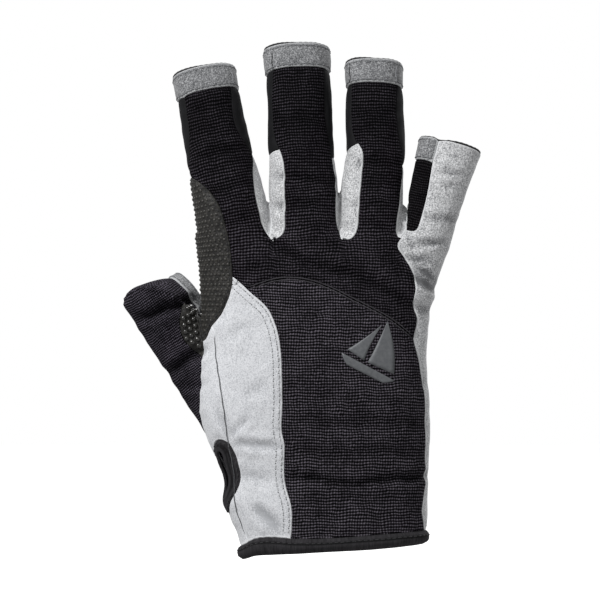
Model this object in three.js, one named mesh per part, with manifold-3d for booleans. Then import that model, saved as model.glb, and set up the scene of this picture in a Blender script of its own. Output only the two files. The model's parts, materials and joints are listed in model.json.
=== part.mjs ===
// A short-finger sailing glove for the right hand, as the cut pieces that it is sewn from.
// Millimetres. +Z runs from the cuff to the fingertips, +X to the little finger, and -Y out of the back
// of the hand.
// The origin is the centre of the cuff's rim, where the hand goes in.
import * as THREE from "three";
import { mergeVertices } from "three/addons/utils/BufferGeometryUtils.js";
import Module from "manifold-3d";

const wasm = await Module();
wasm.setup();

// ---- Driving dimensions ----
const FABRIC = 1.2; // knit and synthetic suede
const SEAM = 0.7; // gap between neighbouring pieces, where the stitching is
const ROUNDNESS = 2.4; // power of the superellipse that every section is
const CUFF_BINDING = 7; // height of the folded binding
const ROOT_JOINT = 5; // how far above the webs each finger's first joint is
const TIP_BAND = 8; // height of the folded band round each fingertip
const FLEX_NOTCH = 34; // degrees that a piece is cut back on the palm side of a joint
const BACK_NOTCH = 4; // degrees that it is cut back on the other side
const JOINT_CLEARANCE = 0.4;
const HINGE_DEPTH = 0.5; // a finger's joint axis, as a share of its half depth towards the palm

const degrees = (angle) => (angle * Math.PI) / 180;
const vector = (x, y, z) => new THREE.Vector3(x, y, z);
const { lerp, clamp } = THREE.MathUtils;

// A smooth function through [place, value] pairs in rising order of place.
function through(pairs) {
  return (place) => {
    const at = clamp(place, pairs[0][0], pairs.at(-1)[0]);
    const upper = Math.max(1, pairs.findIndex(([p]) => p >= at));
    const [[p0, v0], [p1, v1]] = [pairs[upper - 1], pairs[upper]];
    return lerp(v0, v1, THREE.MathUtils.smoothstep(at, p0, p1) * 0.5 + ((at - p0) / (p1 - p0)) * 0.5);
  };
}

// ---- Materials ----
const knit = new THREE.MeshStandardMaterial({ color: 0x1b1a1f, roughness: 0.9, metalness: 0 });
const lycra = new THREE.MeshStandardMaterial({ color: 0x161617, roughness: 0.75, metalness: 0 });
const suede = new THREE.MeshStandardMaterial({ color: 0x9a9da0, roughness: 0.95, metalness: 0 });
const paleSuede = new THREE.MeshStandardMaterial({ color: 0xcfd1d4, roughness: 0.95, metalness: 0 });
const grip = new THREE.MeshStandardMaterial({ color: 0x2c2b28, roughness: 0.55, metalness: 0 });
const binding = new THREE.MeshStandardMaterial({ color: 0x242326, roughness: 0.8, metalness: 0 });
const elastic = new THREE.MeshStandardMaterial({ color: 0x101011, roughness: 0.8, metalness: 0 });
const label = new THREE.MeshStandardMaterial({ color: 0xe8e8e6, roughness: 0.6, metalness: 0 });
const print = new THREE.MeshStandardMaterial({ color: 0x6a7276, roughness: 0.4, metalness: 0 });

const glove = new THREE.Group();

function add(name, geometry, material) {
  const mesh = new THREE.Mesh(geometry, material);
  mesh.name = name;
  glove.add(mesh);
}

// ---- Sections ----
// A section has a centre, two directions and two half sizes. Angle 0 is the back of the hand, and
// 90 degrees its "across" side.
function sectionPoint(section, angle, offset) {
  const s = Math.sin(angle);
  const c = Math.cos(angle);
  const scale = (Math.abs(s) ** ROUNDNESS + Math.abs(c) ** ROUNDNESS) ** (-1 / ROUNDNESS);
  return section.centre
    .clone()
    .addScaledVector(section.across, (section.halfWidth + offset) * s * scale)
    .addScaledVector(section.palmward, -(section.halfDepth + offset) * c * scale);
}

// The angle of the point on the back of a section that is this share of the half width across.
function angleAcross(share) {
  const r = clamp(share, -0.999, 0.999);
  return Math.atan2(r, (1 - Math.abs(r) ** ROUNDNESS) ** (1 / ROUNDNESS));
}

// How far a section's outline goes for one radian, near an angle.
function arcPerRadian(section, angle) {
  const step = 0.02;
  const after = sectionPoint(section, angle + step, 0);
  return after.distanceTo(sectionPoint(section, angle - step, 0)) / (2 * step);
}

// ---- Closed geometry ----
// Joins loops of points into one closed body. Each loop is an outer line and then the inner line back.
function loft(loops, closed = false) {
  const count = loops[0].length;
  const at = (ring, i) => (ring % loops.length) * count + (i % count);
  const index = [];
  for (let ring = 0; ring < (closed ? loops.length : loops.length - 1); ring++)
    for (let i = 0; i < count; i++) {
      index.push(at(ring, i), at(ring, i + 1), at(ring + 1, i + 1));
      index.push(at(ring, i), at(ring + 1, i + 1), at(ring + 1, i));
    }
  if (!closed)
    for (let i = 0; i < count / 2 - 1; i++) {
      const [a, b, c, d] = [i, i + 1, count - 2 - i, count - 1 - i];
      const last = loops.length - 1;
      index.push(at(0, a), at(0, c), at(0, b), at(0, a), at(0, d), at(0, c));
      index.push(at(last, a), at(last, b), at(last, c), at(last, a), at(last, c), at(last, d));
    }
  const geometry = new THREE.BufferGeometry().setFromPoints(loops.flat()).setIndex(index);
  if (signedVolume(geometry) < 0) geometry.setIndex(index.reverse());
  geometry.computeVertexNormals();
  return geometry;
}

function signedVolume(geometry) {
  const [a, b, c] = [vector(), vector(), vector()];
  const { position } = geometry.attributes;
  let six = 0;
  for (let i = 0; i < geometry.index.count; i += 3) {
    [a, b, c].forEach((p, k) => p.fromBufferAttribute(position, geometry.index.getX(i + k)));
    six += a.dot(b.cross(c));
  }
  return six / 6;
}

// A piece of a tube's wall. span(s) gives its two angles, reach(angle) its two ends, and layer its inner
// and outer offset.
function wallPiece({ tube, span, reach, layer = [-FABRIC, 0], steps: [around, along] }) {
  const loops = [];
  for (let j = 0; j <= along; j++) {
    const outer = [];
    const inner = [];
    for (let i = 0; i <= around; i++) {
      const [low, high] = reach(0);
      let angle = lerp(...span(lerp(low, high, j / along)), i / around);
      const s = lerp(...reach(angle), j / along);
      angle = lerp(...span(s), i / around);
      outer.push(sectionPoint(tube(s), angle, layer[1]));
      inner.unshift(sectionPoint(tube(s), angle, layer[0]));
    }
    loops.push([...outer, ...inner]);
  }
  return loft(loops);
}

// A whole ring of a tube's wall. reach(angle) gives its two ends.
function wallRing({ tube, reach, layer, around, along = 1 }) {
  const loops = [];
  for (let i = 0; i < around; i++) {
    const angle = (2 * Math.PI * i) / around;
    const [low, high] = reach(angle);
    const at = (j) => tube(lerp(low, high, j / along));
    const line = (offset) =>
      Array.from({ length: along + 1 }, (_, j) => sectionPoint(at(j), angle, offset));
    loops.push([...line(layer[1]), ...line(layer[0]).reverse()]);
  }
  return loft(loops, true);
}

// An angle span between two seams, each kept half a seam's gap away.
function between(tube, from, to, gap = SEAM) {
  return (s) => {
    const section = tube(s);
    const low = from(s);
    const high = to(s);
    return [low + gap / 2 / arcPerRadian(section, low), high - gap / 2 / arcPerRadian(section, high)];
  };
}

const constant = (value) => () => value;

function solidOf(geometry) {
  const bare = new THREE.BufferGeometry().setAttribute("position", geometry.getAttribute("position"));
  bare.setIndex(geometry.index);
  const merged = mergeVertices(bare, 1e-4);
  return new wasm.Manifold(
    new wasm.Mesh({
      numProp: 3,
      vertProperties: merged.attributes.position.array,
      triVerts: new Uint32Array(merged.index.array),
    }),
  );
}

function geometryOf(solid) {
  const mesh = solid.getMesh();
  const geometry = new THREE.BufferGeometry();
  geometry.setAttribute("position", new THREE.BufferAttribute(mesh.vertProperties, 3));
  geometry.setIndex(new THREE.BufferAttribute(mesh.triVerts, 1));
  return geometry;
}

// ---- The hand ----
const handLeft = through([[0, -37.5], [30, -42.5], [60, -52], [90, -51.5], [127, -53.5]]);
const handRight = through([[0, 37.5], [30, 38.3], [60, 39], [90, 38.4], [112, 41.5], [127, 47]]);
const handHalfDepth = through([[0, 17.5], [30, 17], [60, 17.5], [100, 15.5], [127, 13]]);

function hand(z) {
  return {
    centre: vector((handLeft(z) + handRight(z)) / 2, 0, z),
    across: vector(1, 0, 0),
    palmward: vector(0, 1, 0),
    halfWidth: (handRight(z) - handLeft(z)) / 2,
    halfDepth: handHalfDepth(z),
  };
}

// The angle on the back of the hand at x, for a seam whose x is a function of z.
const backSeam = (xOf) => (z) => angleAcross((xOf(z) - hand(z).centre.x) / hand(z).halfWidth);

// ---- The fingers ----
// root is the middle of the finger at the web, and tilt its lean to the little finger's side.
// curl is how far the tip goes palmward.
const FINGERS = {
  index: {
    root: [-37.9, 127],
    tilt: -11.4,
    length: 67,
    knuckle: 31,
    widths: [13.8, 13.4, 12.3],
    depth: 11.5,
    curl: 10,
  },
  middle: {
    root: [-9.7, 127],
    tilt: -2.7,
    length: 75,
    knuckle: 33,
    widths: [13.8, 13.6, 13],
    depth: 11.8,
    curl: 11,
  },
  ring: {
    root: [16.5, 127],
    tilt: 1,
    length: 69,
    knuckle: 31,
    widths: [11.7, 12.1, 11.1],
    depth: 11,
    curl: 10,
  },
  little: {
    root: [37.6, 124],
    tilt: 15.7,
    length: 41,
    knuckle: 22,
    widths: [9.7, 11, 12.4],
    depth: 10,
    curl: 4,
  },
};

for (const finger of Object.values(FINGERS)) {
  const [x, z] = finger.root;
  const tilt = degrees(finger.tilt);
  finger.along = vector(Math.sin(tilt), 0, Math.cos(tilt));
  finger.across = vector(Math.cos(tilt), 0, -Math.sin(tilt));
  finger.tube = (s) => {
    const share = s / finger.length;
    const tangent = finger.along.clone();
    tangent.y += (2 * finger.curl * share) / finger.length;
    tangent.normalize();
    const palmward = tangent.clone().cross(finger.across).negate();
    const widths = through([0, 0.4, 1].map((place, i) => [place, finger.widths[i]]));
    return {
      centre: vector(x, finger.curl * share * share, z).addScaledVector(finger.along, s),
      across: finger.across,
      palmward: palmward.y < 0 ? palmward.negate() : palmward,
      halfWidth: widths(share),
      halfDepth: finger.depth - share,
    };
  };
  // How far the wall stands back from a joint at s, at an angle round the finger.
  finger.standBack = (angle) => {
    const { halfDepth } = finger.tube(0);
    const depth = -Math.cos(angle) * halfDepth - HINGE_DEPTH * halfDepth;
    return JOINT_CLEARANCE + Math.abs(depth) * Math.tan(degrees(depth > 0 ? FLEX_NOTCH : BACK_NOTCH));
  };
  const { knuckle, length, standBack } = finger;
  finger.baseReach = (angle) => [ROOT_JOINT + standBack(angle), knuckle - standBack(angle)];
  finger.endReach = (angle) => [knuckle + standBack(angle), length - TIP_BAND - SEAM / 2];
}

// The seams round a finger: back to side, side to palm.
const BACK_SEAM = degrees(58);
const PALM_SEAM = degrees(122);
const TURN = 2 * Math.PI;

function fingerPiece(name, finger, reach, from, to, material, steps = [4, 4]) {
  const seam = (edge) => (typeof edge === "function" ? edge : constant(edge));
  const span = between(finger.tube, seam(from), seam(to));
  add(name, wallPiece({ tube: finger.tube, span, reach, steps }), material);
}

function tipBand(name, tube, length, from = length - TIP_BAND) {
  const reach = constant([from + SEAM / 2, length]);
  add(name, wallRing({ tube, reach, layer: [-FABRIC - 0.6, 0.6], around: 20 }), suede);
}

// On the index finger the grip's edge starts on the back and runs out to the side.
const indexGripEdge = through(
  [[0, -9], [13, -16], [17, -24], [21, -38], [27, -58]].map(([s, angle]) => [s, degrees(angle)]),
);

for (const name of ["index", "middle", "ring"]) {
  const finger = FINGERS[name];
  const backEdge = name === "index" ? indexGripEdge : constant(-BACK_SEAM);
  fingerPiece(`${name}_back_base`, finger, finger.baseReach, backEdge, BACK_SEAM, knit, [4, 6]);
  fingerPiece(`${name}_back_end`, finger, finger.endReach, -BACK_SEAM, BACK_SEAM, knit);
  fingerPiece(`${name}_palm_base`, finger, finger.baseReach, PALM_SEAM, TURN - PALM_SEAM, suede);
  fingerPiece(`${name}_palm_end`, finger, finger.endReach, PALM_SEAM, TURN - PALM_SEAM, suede);
  for (const [side, from, to] of [
    ["little_side", BACK_SEAM, PALM_SEAM],
    ["thumb_side", -PALM_SEAM, -BACK_SEAM],
  ]) {
    const isGrip = name === "index" && side === "thumb_side";
    const baseName = isGrip ? "index_side_grip" : `${name}_gusset_${side}`;
    const baseTo = isGrip ? indexGripEdge : to;
    const [material, around] = isGrip ? [grip, 4] : [suede, 2];
    fingerPiece(baseName, finger, finger.baseReach, from, baseTo, material, [around, 6]);
    fingerPiece(`${name}_strip_${side}`, finger, finger.endReach, from, to, lycra, [2, 4]);
  }
  tipBand(`${name}_tip_band`, finger.tube, finger.length);
}

// The little finger is turned: its knit faces the ring finger, and the palm's suede wraps round to its
// back.
const little = FINGERS.little;
const [SIDE_SEAM, KNIT_SEAM, PALM_SUEDE_SEAM] = [-150, -105, 5].map(degrees);
for (const [end, reach, side, sideMaterial] of [
  ["base", little.baseReach, "little_gusset_ring_side", suede],
  ["end", little.endReach, "little_strip_ring_side", lycra],
]) {
  fingerPiece(side, little, reach, SIDE_SEAM, KNIT_SEAM, sideMaterial, [2, 3]);
  fingerPiece(`little_back_${end}`, little, reach, KNIT_SEAM, PALM_SUEDE_SEAM, knit, [5, 3]);
  fingerPiece(`little_palm_${end}`, little, reach, PALM_SUEDE_SEAM, TURN + SIDE_SEAM, suede, [9, 3]);
}
tipBand("little_tip_band", little.tube, little.length);

// ---- The hand's edges ----
// The middles of the webs, and how far the hand's wall dips there from the joint line.
const WEBS = { index_middle: [-23.9, 127], middle_ring: [4.4, 127], ring_little: [27.6, 124] };
const WEB_DIP = 5;
const WEB_HALF_WIDTH = 4;

// Every finger's joint line, seen at an x across the hand.
function jointAt(x) {
  const [name] = Object.entries(FINGERS)
    .map(([key, { root }]) => [key, Math.abs(root[0] - x)])
    .sort((a, b) => a[1] - b[1])[0];
  const { root, along, depth } = FINGERS[name];
  return { z: root[1] + (ROOT_JOINT - (x - root[0]) * along.x) / along.z, depth };
}

// The top of the hand's wall at an angle. It stops under each finger's joint, lower on the palm side and
// at the webs.
function handTop(angle) {
  const point = sectionPoint(hand(120), angle, 0);
  const { z, depth } = jointAt(point.x);
  const beyond = point.y - HINGE_DEPTH * depth;
  const notch = Math.abs(beyond) * Math.tan(degrees(beyond > 0 ? FLEX_NOTCH : BACK_NOTCH));
  const nearest = Math.min(...Object.values(WEBS).map(([x]) => Math.abs(x - point.x)));
  const dip = WEB_DIP * clamp(1 - nearest / WEB_HALF_WIDTH, 0, 1);
  return z - JOINT_CLEARANCE - Math.max(notch, dip);
}

const bottom = CUFF_BINDING + SEAM / 2;
const archHeight = through([[-34, 105.5], [-19, 111], [0, 107.5], [18.6, 97.4], [33, 87]]);
const archAt = (angle) => archHeight(sectionPoint(hand(103), angle, 0).x);

// The vent at the thumb side of the wrist: an eye-shaped hole with a bound edge, on the seam there.
const VENT = { middle: 32, halfHeight: 14.5, halfWidth: 4.5, binding: 2.2 };
const sideSeam = constant(degrees(-64));
const ventEdge = (z, extra) => {
  const rise = (z - VENT.middle) / (VENT.halfHeight + extra);
  return Math.abs(rise) < 1 ? (VENT.halfWidth + extra) * Math.sqrt(1 - rise * rise) : 0;
};
const besideVent = (side) => (z) => {
  const extra = VENT.binding + SEAM / 2;
  return sideSeam(z) + (side * ventEdge(z, extra)) / arcPerRadian(hand(z), sideSeam(z));
};

// The thumb-side panel's two edges on the back of the hand: they meet in a point under the index finger.
const PANEL_TIP = 110;
const PANEL_SHOULDER = 88;
const PANEL_SEAM = 1.4;
const panelEdge = backSeam(
  through([[7, -16.3], [28, -18.6], [50, -20.5], [74, -20.2], [93, -23], [103, -30.4], [112, -38.5]]),
);
const panelSideEdge = backSeam(
  through([[PANEL_SHOULDER, -48.5], [91, -47.8], [96, -44.6], [101, -41.8], [112, -40]]),
);
const panelOuterEdge = (z) => (z < PANEL_SHOULDER ? besideVent(1)(z) : panelSideEdge(z));

const GRIP_EDGE = degrees(-112);
const LITTLE_EDGE = degrees(58);
const THUMB_HOLE = { low: 47, high: 90, edge: degrees(-148) };

add(
  "back_panel",
  wallPiece({
    tube: hand,
    span: between(hand, panelEdge, constant(LITTLE_EDGE), PANEL_SEAM),
    reach: (angle) => [bottom, archAt(angle) - SEAM / 2],
    steps: [10, 12],
  }),
  knit,
);

const gripBackEdge = backSeam(constant(-39.8));
const besidePanel = (z) => Math.max(gripBackEdge(z), panelEdge(z));
add(
  "knuckle_panel",
  wallPiece({
    tube: hand,
    span: between(hand, besidePanel, constant(LITTLE_EDGE), PANEL_SEAM),
    reach: (angle) => [archAt(angle) + SEAM / 2, handTop(angle)],
    steps: [24, 4],
  }),
  knit,
);

add(
  "thumb_side_panel",
  wallPiece({
    tube: hand,
    span: between(hand, panelOuterEdge, panelEdge),
    reach: constant([bottom, PANEL_TIP]),
    steps: [5, 20],
  }),
  paleSuede,
);

const gripFrontEdge = (z) => (z > PANEL_TIP ? gripBackEdge(z) : panelSideEdge(z));
add(
  "index_side_grip_root",
  wallPiece({
    tube: hand,
    span: between(hand, constant(GRIP_EDGE), gripFrontEdge, PANEL_SEAM),
    reach: (angle) => [THUMB_HOLE.high + 1.5, handTop(angle)],
    steps: [6, 8],
  }),
  grip,
);

add(
  "thumb_root_gusset",
  wallPiece({
    tube: hand,
    span: between(hand, constant(degrees(-84)), (z) => Math.min(besideVent(-1)(z), sideSeam(z))),
    reach: constant([THUMB_HOLE.low + 1, THUMB_HOLE.high - 0.5]),
    steps: [2, 7],
  }),
  paleSuede,
);

// The palm's suede, in three pieces round the thumb's hole: beside it, under it and over it.
const palmFrom = constant(LITTLE_EDGE);
const holeEdge = constant(TURN + THUMB_HOLE.edge);
const palmSpan = between(hand, palmFrom, holeEdge);
add(
  "palm_panel",
  wallPiece({ tube: hand, span: palmSpan, reach: (angle) => [bottom, handTop(angle)], steps: [12, 9] }),
  suede,
);
add(
  "palm_heel",
  wallPiece({
    tube: hand,
    span: between(hand, holeEdge, (z) => TURN + besideVent(-1)(z)),
    reach: constant([bottom, THUMB_HOLE.low]),
    steps: [5, 9],
  }),
  suede,
);
add(
  "palm_index_root",
  wallPiece({
    tube: hand,
    span: between(hand, holeEdge, constant(TURN + GRIP_EDGE)),
    reach: (angle) => [THUMB_HOLE.high + 1.5, handTop(angle)],
    steps: [3, 5],
  }),
  suede,
);

add(
  "palm_grip",
  wallPiece({
    tube: hand,
    span: constant([degrees(118), degrees(205)]),
    reach: constant([24, 112]),
    layer: [0.5, 1.3],
    steps: [8, 8],
  }),
  grip,
);

// ---- Cuff ----
add(
  "cuff_binding",
  wallRing({
    tube: hand,
    reach: constant([0, CUFF_BINDING]),
    layer: [-FABRIC - 0.7, 0.8],
    around: 36,
    along: 2,
  }),
  binding,
);

add(
  "wrist_elastic",
  wallPiece({
    tube: hand,
    span: between(hand, panelEdge, constant(LITTLE_EDGE)),
    reach: constant([24, 46]),
    layer: [-FABRIC - 1.2, -FABRIC - 0.4],
    steps: [8, 2],
  }),
  elastic,
);

add(
  "care_label",
  wallPiece({
    tube: hand,
    span: constant([degrees(170), degrees(186)]),
    reach: constant([CUFF_BINDING + 1, 34]),
    layer: [-FABRIC - 0.8, -FABRIC - 0.4],
    steps: [2, 2],
  }),
  label,
);

// The vent's binding is a loop of four-cornered sections round the hole.
function ventBinding(stations = 28) {
  const loops = [];
  for (let i = 0; i < stations; i++) {
    const turn = (TURN * i) / stations;
    const corner = (extra, offset) => {
      const z = VENT.middle + (VENT.halfHeight + extra) * Math.sin(turn);
      const section = hand(z);
      const arc = (VENT.halfWidth + extra) * Math.cos(turn);
      return sectionPoint(section, sideSeam(z) + arc / arcPerRadian(section, sideSeam(z)), offset);
    };
    const { binding: width } = VENT;
    loops.push([corner(0, 0.6), corner(width, 0.6), corner(width, -FABRIC), corner(0, -FABRIC)]);
  }
  return loft(loops, true);
}
add("vent_binding", ventBinding(), binding);

// The printed mark on the back: a plain sail, cut as a triangle with a curved foot.
function sailMark() {
  const outline = new THREE.Shape();
  outline.moveTo(-7, -6);
  outline.quadraticCurveTo(0, -9, 9, -5);
  outline.quadraticCurveTo(2, 2, -3, 11);
  outline.quadraticCurveTo(-2, 2, -7, -6);
  const extrusion = { depth: 0.4, bevelEnabled: false, curveSegments: 6 };
  const geometry = new THREE.ExtrudeGeometry(outline, extrusion);
  geometry.rotateX(Math.PI / 2).rotateY(degrees(25));
  return geometry.translate(19, -16.5, 78);
}
add("sail_print", sailMark(), print);

// ---- Webs between the fingers ----
function web(name, x, z) {
  const depth = handHalfDepth(z) * 0.6;
  const outline = new THREE.Shape();
  outline.moveTo(-depth, -9);
  outline.lineTo(depth, -9);
  outline.lineTo(depth * 0.55, -2.5);
  outline.lineTo(-depth, -1.5);
  const geometry = new THREE.ExtrudeGeometry(outline, { depth: 1.6, bevelEnabled: false });
  geometry.rotateX(Math.PI / 2).rotateZ(Math.PI / 2);
  add(name, geometry.translate(x - 0.8, 0, z), suede);
}
for (const [name, [x, z]] of Object.entries(WEBS)) web(`web_${name}`, x, z);

// ---- The thumb ----
// Two straight tubes that meet at the knuckle in a mitre.
const THUMB = {
  root: vector(-41, 8, 56),
  knuckle: vector(-66.7, 8, 95.9),
  tip: vector(-54.6, 22, 102.4),
  rootWidth: 13,
  knuckleWidth: 12,
  tipWidth: 11.5,
  depth: 10.5,
};

function thumbTube(from, to, startWidth, endWidth) {
  const tangent = to.clone().sub(from).normalize();
  const outward = vector(-0.6, -0.8, 0);
  const palmward = outward.addScaledVector(tangent, -outward.dot(tangent)).normalize().negate();
  const across = palmward.clone().cross(tangent).normalize();
  const length = from.distanceTo(to);
  return {
    length,
    tangent,
    across,
    palmward,
    at: (s) => ({
      centre: from.clone().addScaledVector(tangent, s),
      across,
      palmward,
      halfWidth: lerp(startWidth, endWidth, clamp(s / length, 0, 1)),
      halfDepth: lerp(startWidth, endWidth, clamp(s / length, 0, 1)) - 1,
    }),
  };
}

const thumbBase = thumbTube(THUMB.root, THUMB.knuckle, THUMB.rootWidth, THUMB.knuckleWidth);
const thumbEnd = thumbTube(THUMB.knuckle, THUMB.tip, THUMB.knuckleWidth, THUMB.tipWidth);

// A large block with one face on a plane, used to cut at the mitre.
function halfSpace(point, normal) {
  const size = 120;
  const block = new THREE.BoxGeometry(size, size, size).translate(0, 0, size / 2);
  const turn = new THREE.Quaternion().setFromUnitVectors(vector(0, 0, 1), normal.clone().normalize());
  return solidOf(block.applyQuaternion(turn).translate(point.x, point.y, point.z));
}

const mitre = thumbBase.tangent.clone().add(thumbEnd.tangent).normalize();
const THUMB_SEAMS = [degrees(-100), degrees(85)];
const bendAxis = thumbBase.tangent.clone().cross(thumbEnd.tangent).normalize();
const outerSide = mitre.clone().cross(bendAxis).normalize();

const THUMB_HINGE_INSET = 10;
const thumbHinge = THUMB.knuckle.clone().addScaledVector(outerSide, THUMB_HINGE_INSET);
const OPEN_NOTCH = 22; // degrees cut back outside the hinge, on each side

// Everything of a thumb tube that clears the knuckle joint.
function cutAtKnuckle(geometry, side) {
  const keep = mitre.clone().multiplyScalar(side);
  const start = thumbHinge.clone().addScaledVector(keep, JOINT_CLEARANCE);
  const tilted = keep.clone().applyAxisAngle(bendAxis, degrees(OPEN_NOTCH) * side);
  return solidOf(geometry).intersect(halfSpace(start, keep)).intersect(halfSpace(start, tilted));
}

const THUMB_CLEARANCE = 1.8; // between the thumb and the hand's wall, for its swing
const handEnvelope = () => {
  const around = (section, i) => sectionPoint(section, (TURN * i) / 32 - Math.PI / 2, THUMB_CLEARANCE);
  const loops = [];
  for (let z = 30; z <= 116; z += 6)
    loops.push(Array.from({ length: 32 }, (_, i) => around(hand(z), i)));
  return solidOf(loft(loops));
};
const envelope = handEnvelope();

function thumbPiece(name, tube, side, from, to, material, steps) {
  const reachEnd = side < 0 ? [-12, tube.length + 16] : [-16, tube.length - 4.5 - SEAM / 2];
  const span = between(tube.at, constant(from), constant(to));
  const whole = wallPiece({ tube: tube.at, span, reach: constant(reachEnd), steps });
  add(name, geometryOf(cutAtKnuckle(whole, side).subtract(envelope)), material);
}

thumbPiece("thumb_back_base", thumbBase, -1, THUMB_SEAMS[0], THUMB_SEAMS[1], knit, [7, 2]);
thumbPiece("thumb_palm_base", thumbBase, -1, THUMB_SEAMS[1], TURN + THUMB_SEAMS[0], grip, [7, 2]);
thumbPiece("thumb_back_end", thumbEnd, 1, THUMB_SEAMS[0], THUMB_SEAMS[1], knit, [7, 2]);
thumbPiece("thumb_palm_end", thumbEnd, 1, THUMB_SEAMS[1], TURN + THUMB_SEAMS[0], grip, [7, 2]);
tipBand("thumb_tip_band", thumbEnd.at, thumbEnd.length, thumbEnd.length - 4.5);

export default glove;
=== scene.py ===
"""A short-finger sailing glove, sewn in Blender over its CAD frame.

Lengths in the code are millimetres. Only the lamps, the floor and the camera's shift are in metres.
"""

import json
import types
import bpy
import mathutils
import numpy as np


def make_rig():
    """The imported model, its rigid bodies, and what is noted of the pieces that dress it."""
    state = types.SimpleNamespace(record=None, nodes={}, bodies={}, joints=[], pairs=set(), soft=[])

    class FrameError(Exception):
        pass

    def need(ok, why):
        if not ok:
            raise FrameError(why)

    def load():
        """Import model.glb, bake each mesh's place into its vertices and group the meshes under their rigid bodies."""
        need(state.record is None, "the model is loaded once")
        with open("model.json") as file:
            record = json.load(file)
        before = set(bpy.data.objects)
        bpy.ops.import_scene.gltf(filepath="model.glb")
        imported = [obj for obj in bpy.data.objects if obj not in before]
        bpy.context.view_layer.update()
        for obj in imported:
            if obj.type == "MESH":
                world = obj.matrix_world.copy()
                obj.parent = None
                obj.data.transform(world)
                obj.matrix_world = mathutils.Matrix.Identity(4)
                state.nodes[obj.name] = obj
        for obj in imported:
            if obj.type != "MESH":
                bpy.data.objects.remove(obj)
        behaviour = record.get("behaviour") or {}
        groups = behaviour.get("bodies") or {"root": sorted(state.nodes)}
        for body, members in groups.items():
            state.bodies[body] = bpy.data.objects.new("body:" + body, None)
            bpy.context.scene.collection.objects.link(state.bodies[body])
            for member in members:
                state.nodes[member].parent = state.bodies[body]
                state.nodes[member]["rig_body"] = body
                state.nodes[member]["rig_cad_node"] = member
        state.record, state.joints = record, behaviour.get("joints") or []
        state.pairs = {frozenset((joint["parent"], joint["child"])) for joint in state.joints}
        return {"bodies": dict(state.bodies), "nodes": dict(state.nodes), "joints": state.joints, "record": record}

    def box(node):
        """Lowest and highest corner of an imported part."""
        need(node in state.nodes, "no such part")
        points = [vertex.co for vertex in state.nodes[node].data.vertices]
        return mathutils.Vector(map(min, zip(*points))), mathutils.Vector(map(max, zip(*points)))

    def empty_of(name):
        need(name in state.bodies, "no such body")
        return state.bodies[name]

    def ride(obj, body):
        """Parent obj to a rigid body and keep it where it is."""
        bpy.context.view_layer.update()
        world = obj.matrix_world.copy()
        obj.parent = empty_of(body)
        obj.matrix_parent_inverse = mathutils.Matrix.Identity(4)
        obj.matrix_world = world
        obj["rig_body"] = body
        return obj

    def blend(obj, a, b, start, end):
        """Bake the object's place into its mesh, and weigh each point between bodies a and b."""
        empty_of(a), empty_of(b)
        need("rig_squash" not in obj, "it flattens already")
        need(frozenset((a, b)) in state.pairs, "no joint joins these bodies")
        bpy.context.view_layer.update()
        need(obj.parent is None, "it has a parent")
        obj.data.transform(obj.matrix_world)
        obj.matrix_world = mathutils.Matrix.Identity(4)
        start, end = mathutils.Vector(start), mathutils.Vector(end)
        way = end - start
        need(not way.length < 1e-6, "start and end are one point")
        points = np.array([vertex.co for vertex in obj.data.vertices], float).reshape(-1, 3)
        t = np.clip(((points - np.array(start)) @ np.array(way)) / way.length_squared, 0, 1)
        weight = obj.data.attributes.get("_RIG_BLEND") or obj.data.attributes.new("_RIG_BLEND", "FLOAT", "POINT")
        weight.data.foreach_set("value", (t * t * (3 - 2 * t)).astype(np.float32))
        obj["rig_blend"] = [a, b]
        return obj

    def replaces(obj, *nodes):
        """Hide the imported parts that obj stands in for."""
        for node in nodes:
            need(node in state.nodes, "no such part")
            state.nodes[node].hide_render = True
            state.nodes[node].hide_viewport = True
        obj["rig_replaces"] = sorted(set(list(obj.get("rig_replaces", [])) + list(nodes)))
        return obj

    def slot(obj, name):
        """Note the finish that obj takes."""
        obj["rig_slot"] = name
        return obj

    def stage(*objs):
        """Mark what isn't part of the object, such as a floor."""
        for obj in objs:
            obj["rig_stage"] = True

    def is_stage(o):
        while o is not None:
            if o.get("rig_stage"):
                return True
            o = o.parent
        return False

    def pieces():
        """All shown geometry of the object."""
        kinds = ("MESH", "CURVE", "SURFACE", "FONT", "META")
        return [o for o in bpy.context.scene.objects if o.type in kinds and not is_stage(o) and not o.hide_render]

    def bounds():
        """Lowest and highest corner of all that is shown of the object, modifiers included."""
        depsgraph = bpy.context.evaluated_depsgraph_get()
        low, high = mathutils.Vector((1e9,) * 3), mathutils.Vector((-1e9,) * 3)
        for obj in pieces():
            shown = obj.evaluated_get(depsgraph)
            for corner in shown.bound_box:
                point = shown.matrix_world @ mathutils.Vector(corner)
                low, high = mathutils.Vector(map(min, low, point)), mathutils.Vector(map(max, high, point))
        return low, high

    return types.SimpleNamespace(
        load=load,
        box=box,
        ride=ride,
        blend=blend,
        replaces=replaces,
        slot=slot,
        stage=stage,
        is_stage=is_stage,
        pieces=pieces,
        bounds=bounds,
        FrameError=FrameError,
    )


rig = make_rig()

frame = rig.load()

import json
import math

import bpy
import numpy as np
from mathutils import Vector
from mathutils.bvhtree import BVHTree
from mathutils.kdtree import KDTree

MM = 0.001
for default in ("Cube", "Camera", "Light"):
    if default in bpy.data.objects:
        bpy.data.objects.remove(bpy.data.objects[default])
cad_low, cad_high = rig.bounds()
joints = {j["name"]: j for j in frame["joints"]}
scene = bpy.context.scene

# ---- Camera, light and stage ----
VIEW_WIDTH = 240.0  # how much of the glove's plane the picture takes in
CAMERA_DISTANCE = 2600.0
SENSOR = 36.0
CAMERA_SHIFT = (-0.0019, -0.0002)  # puts the glove where the photo has it
FLOOR = -0.045

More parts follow.
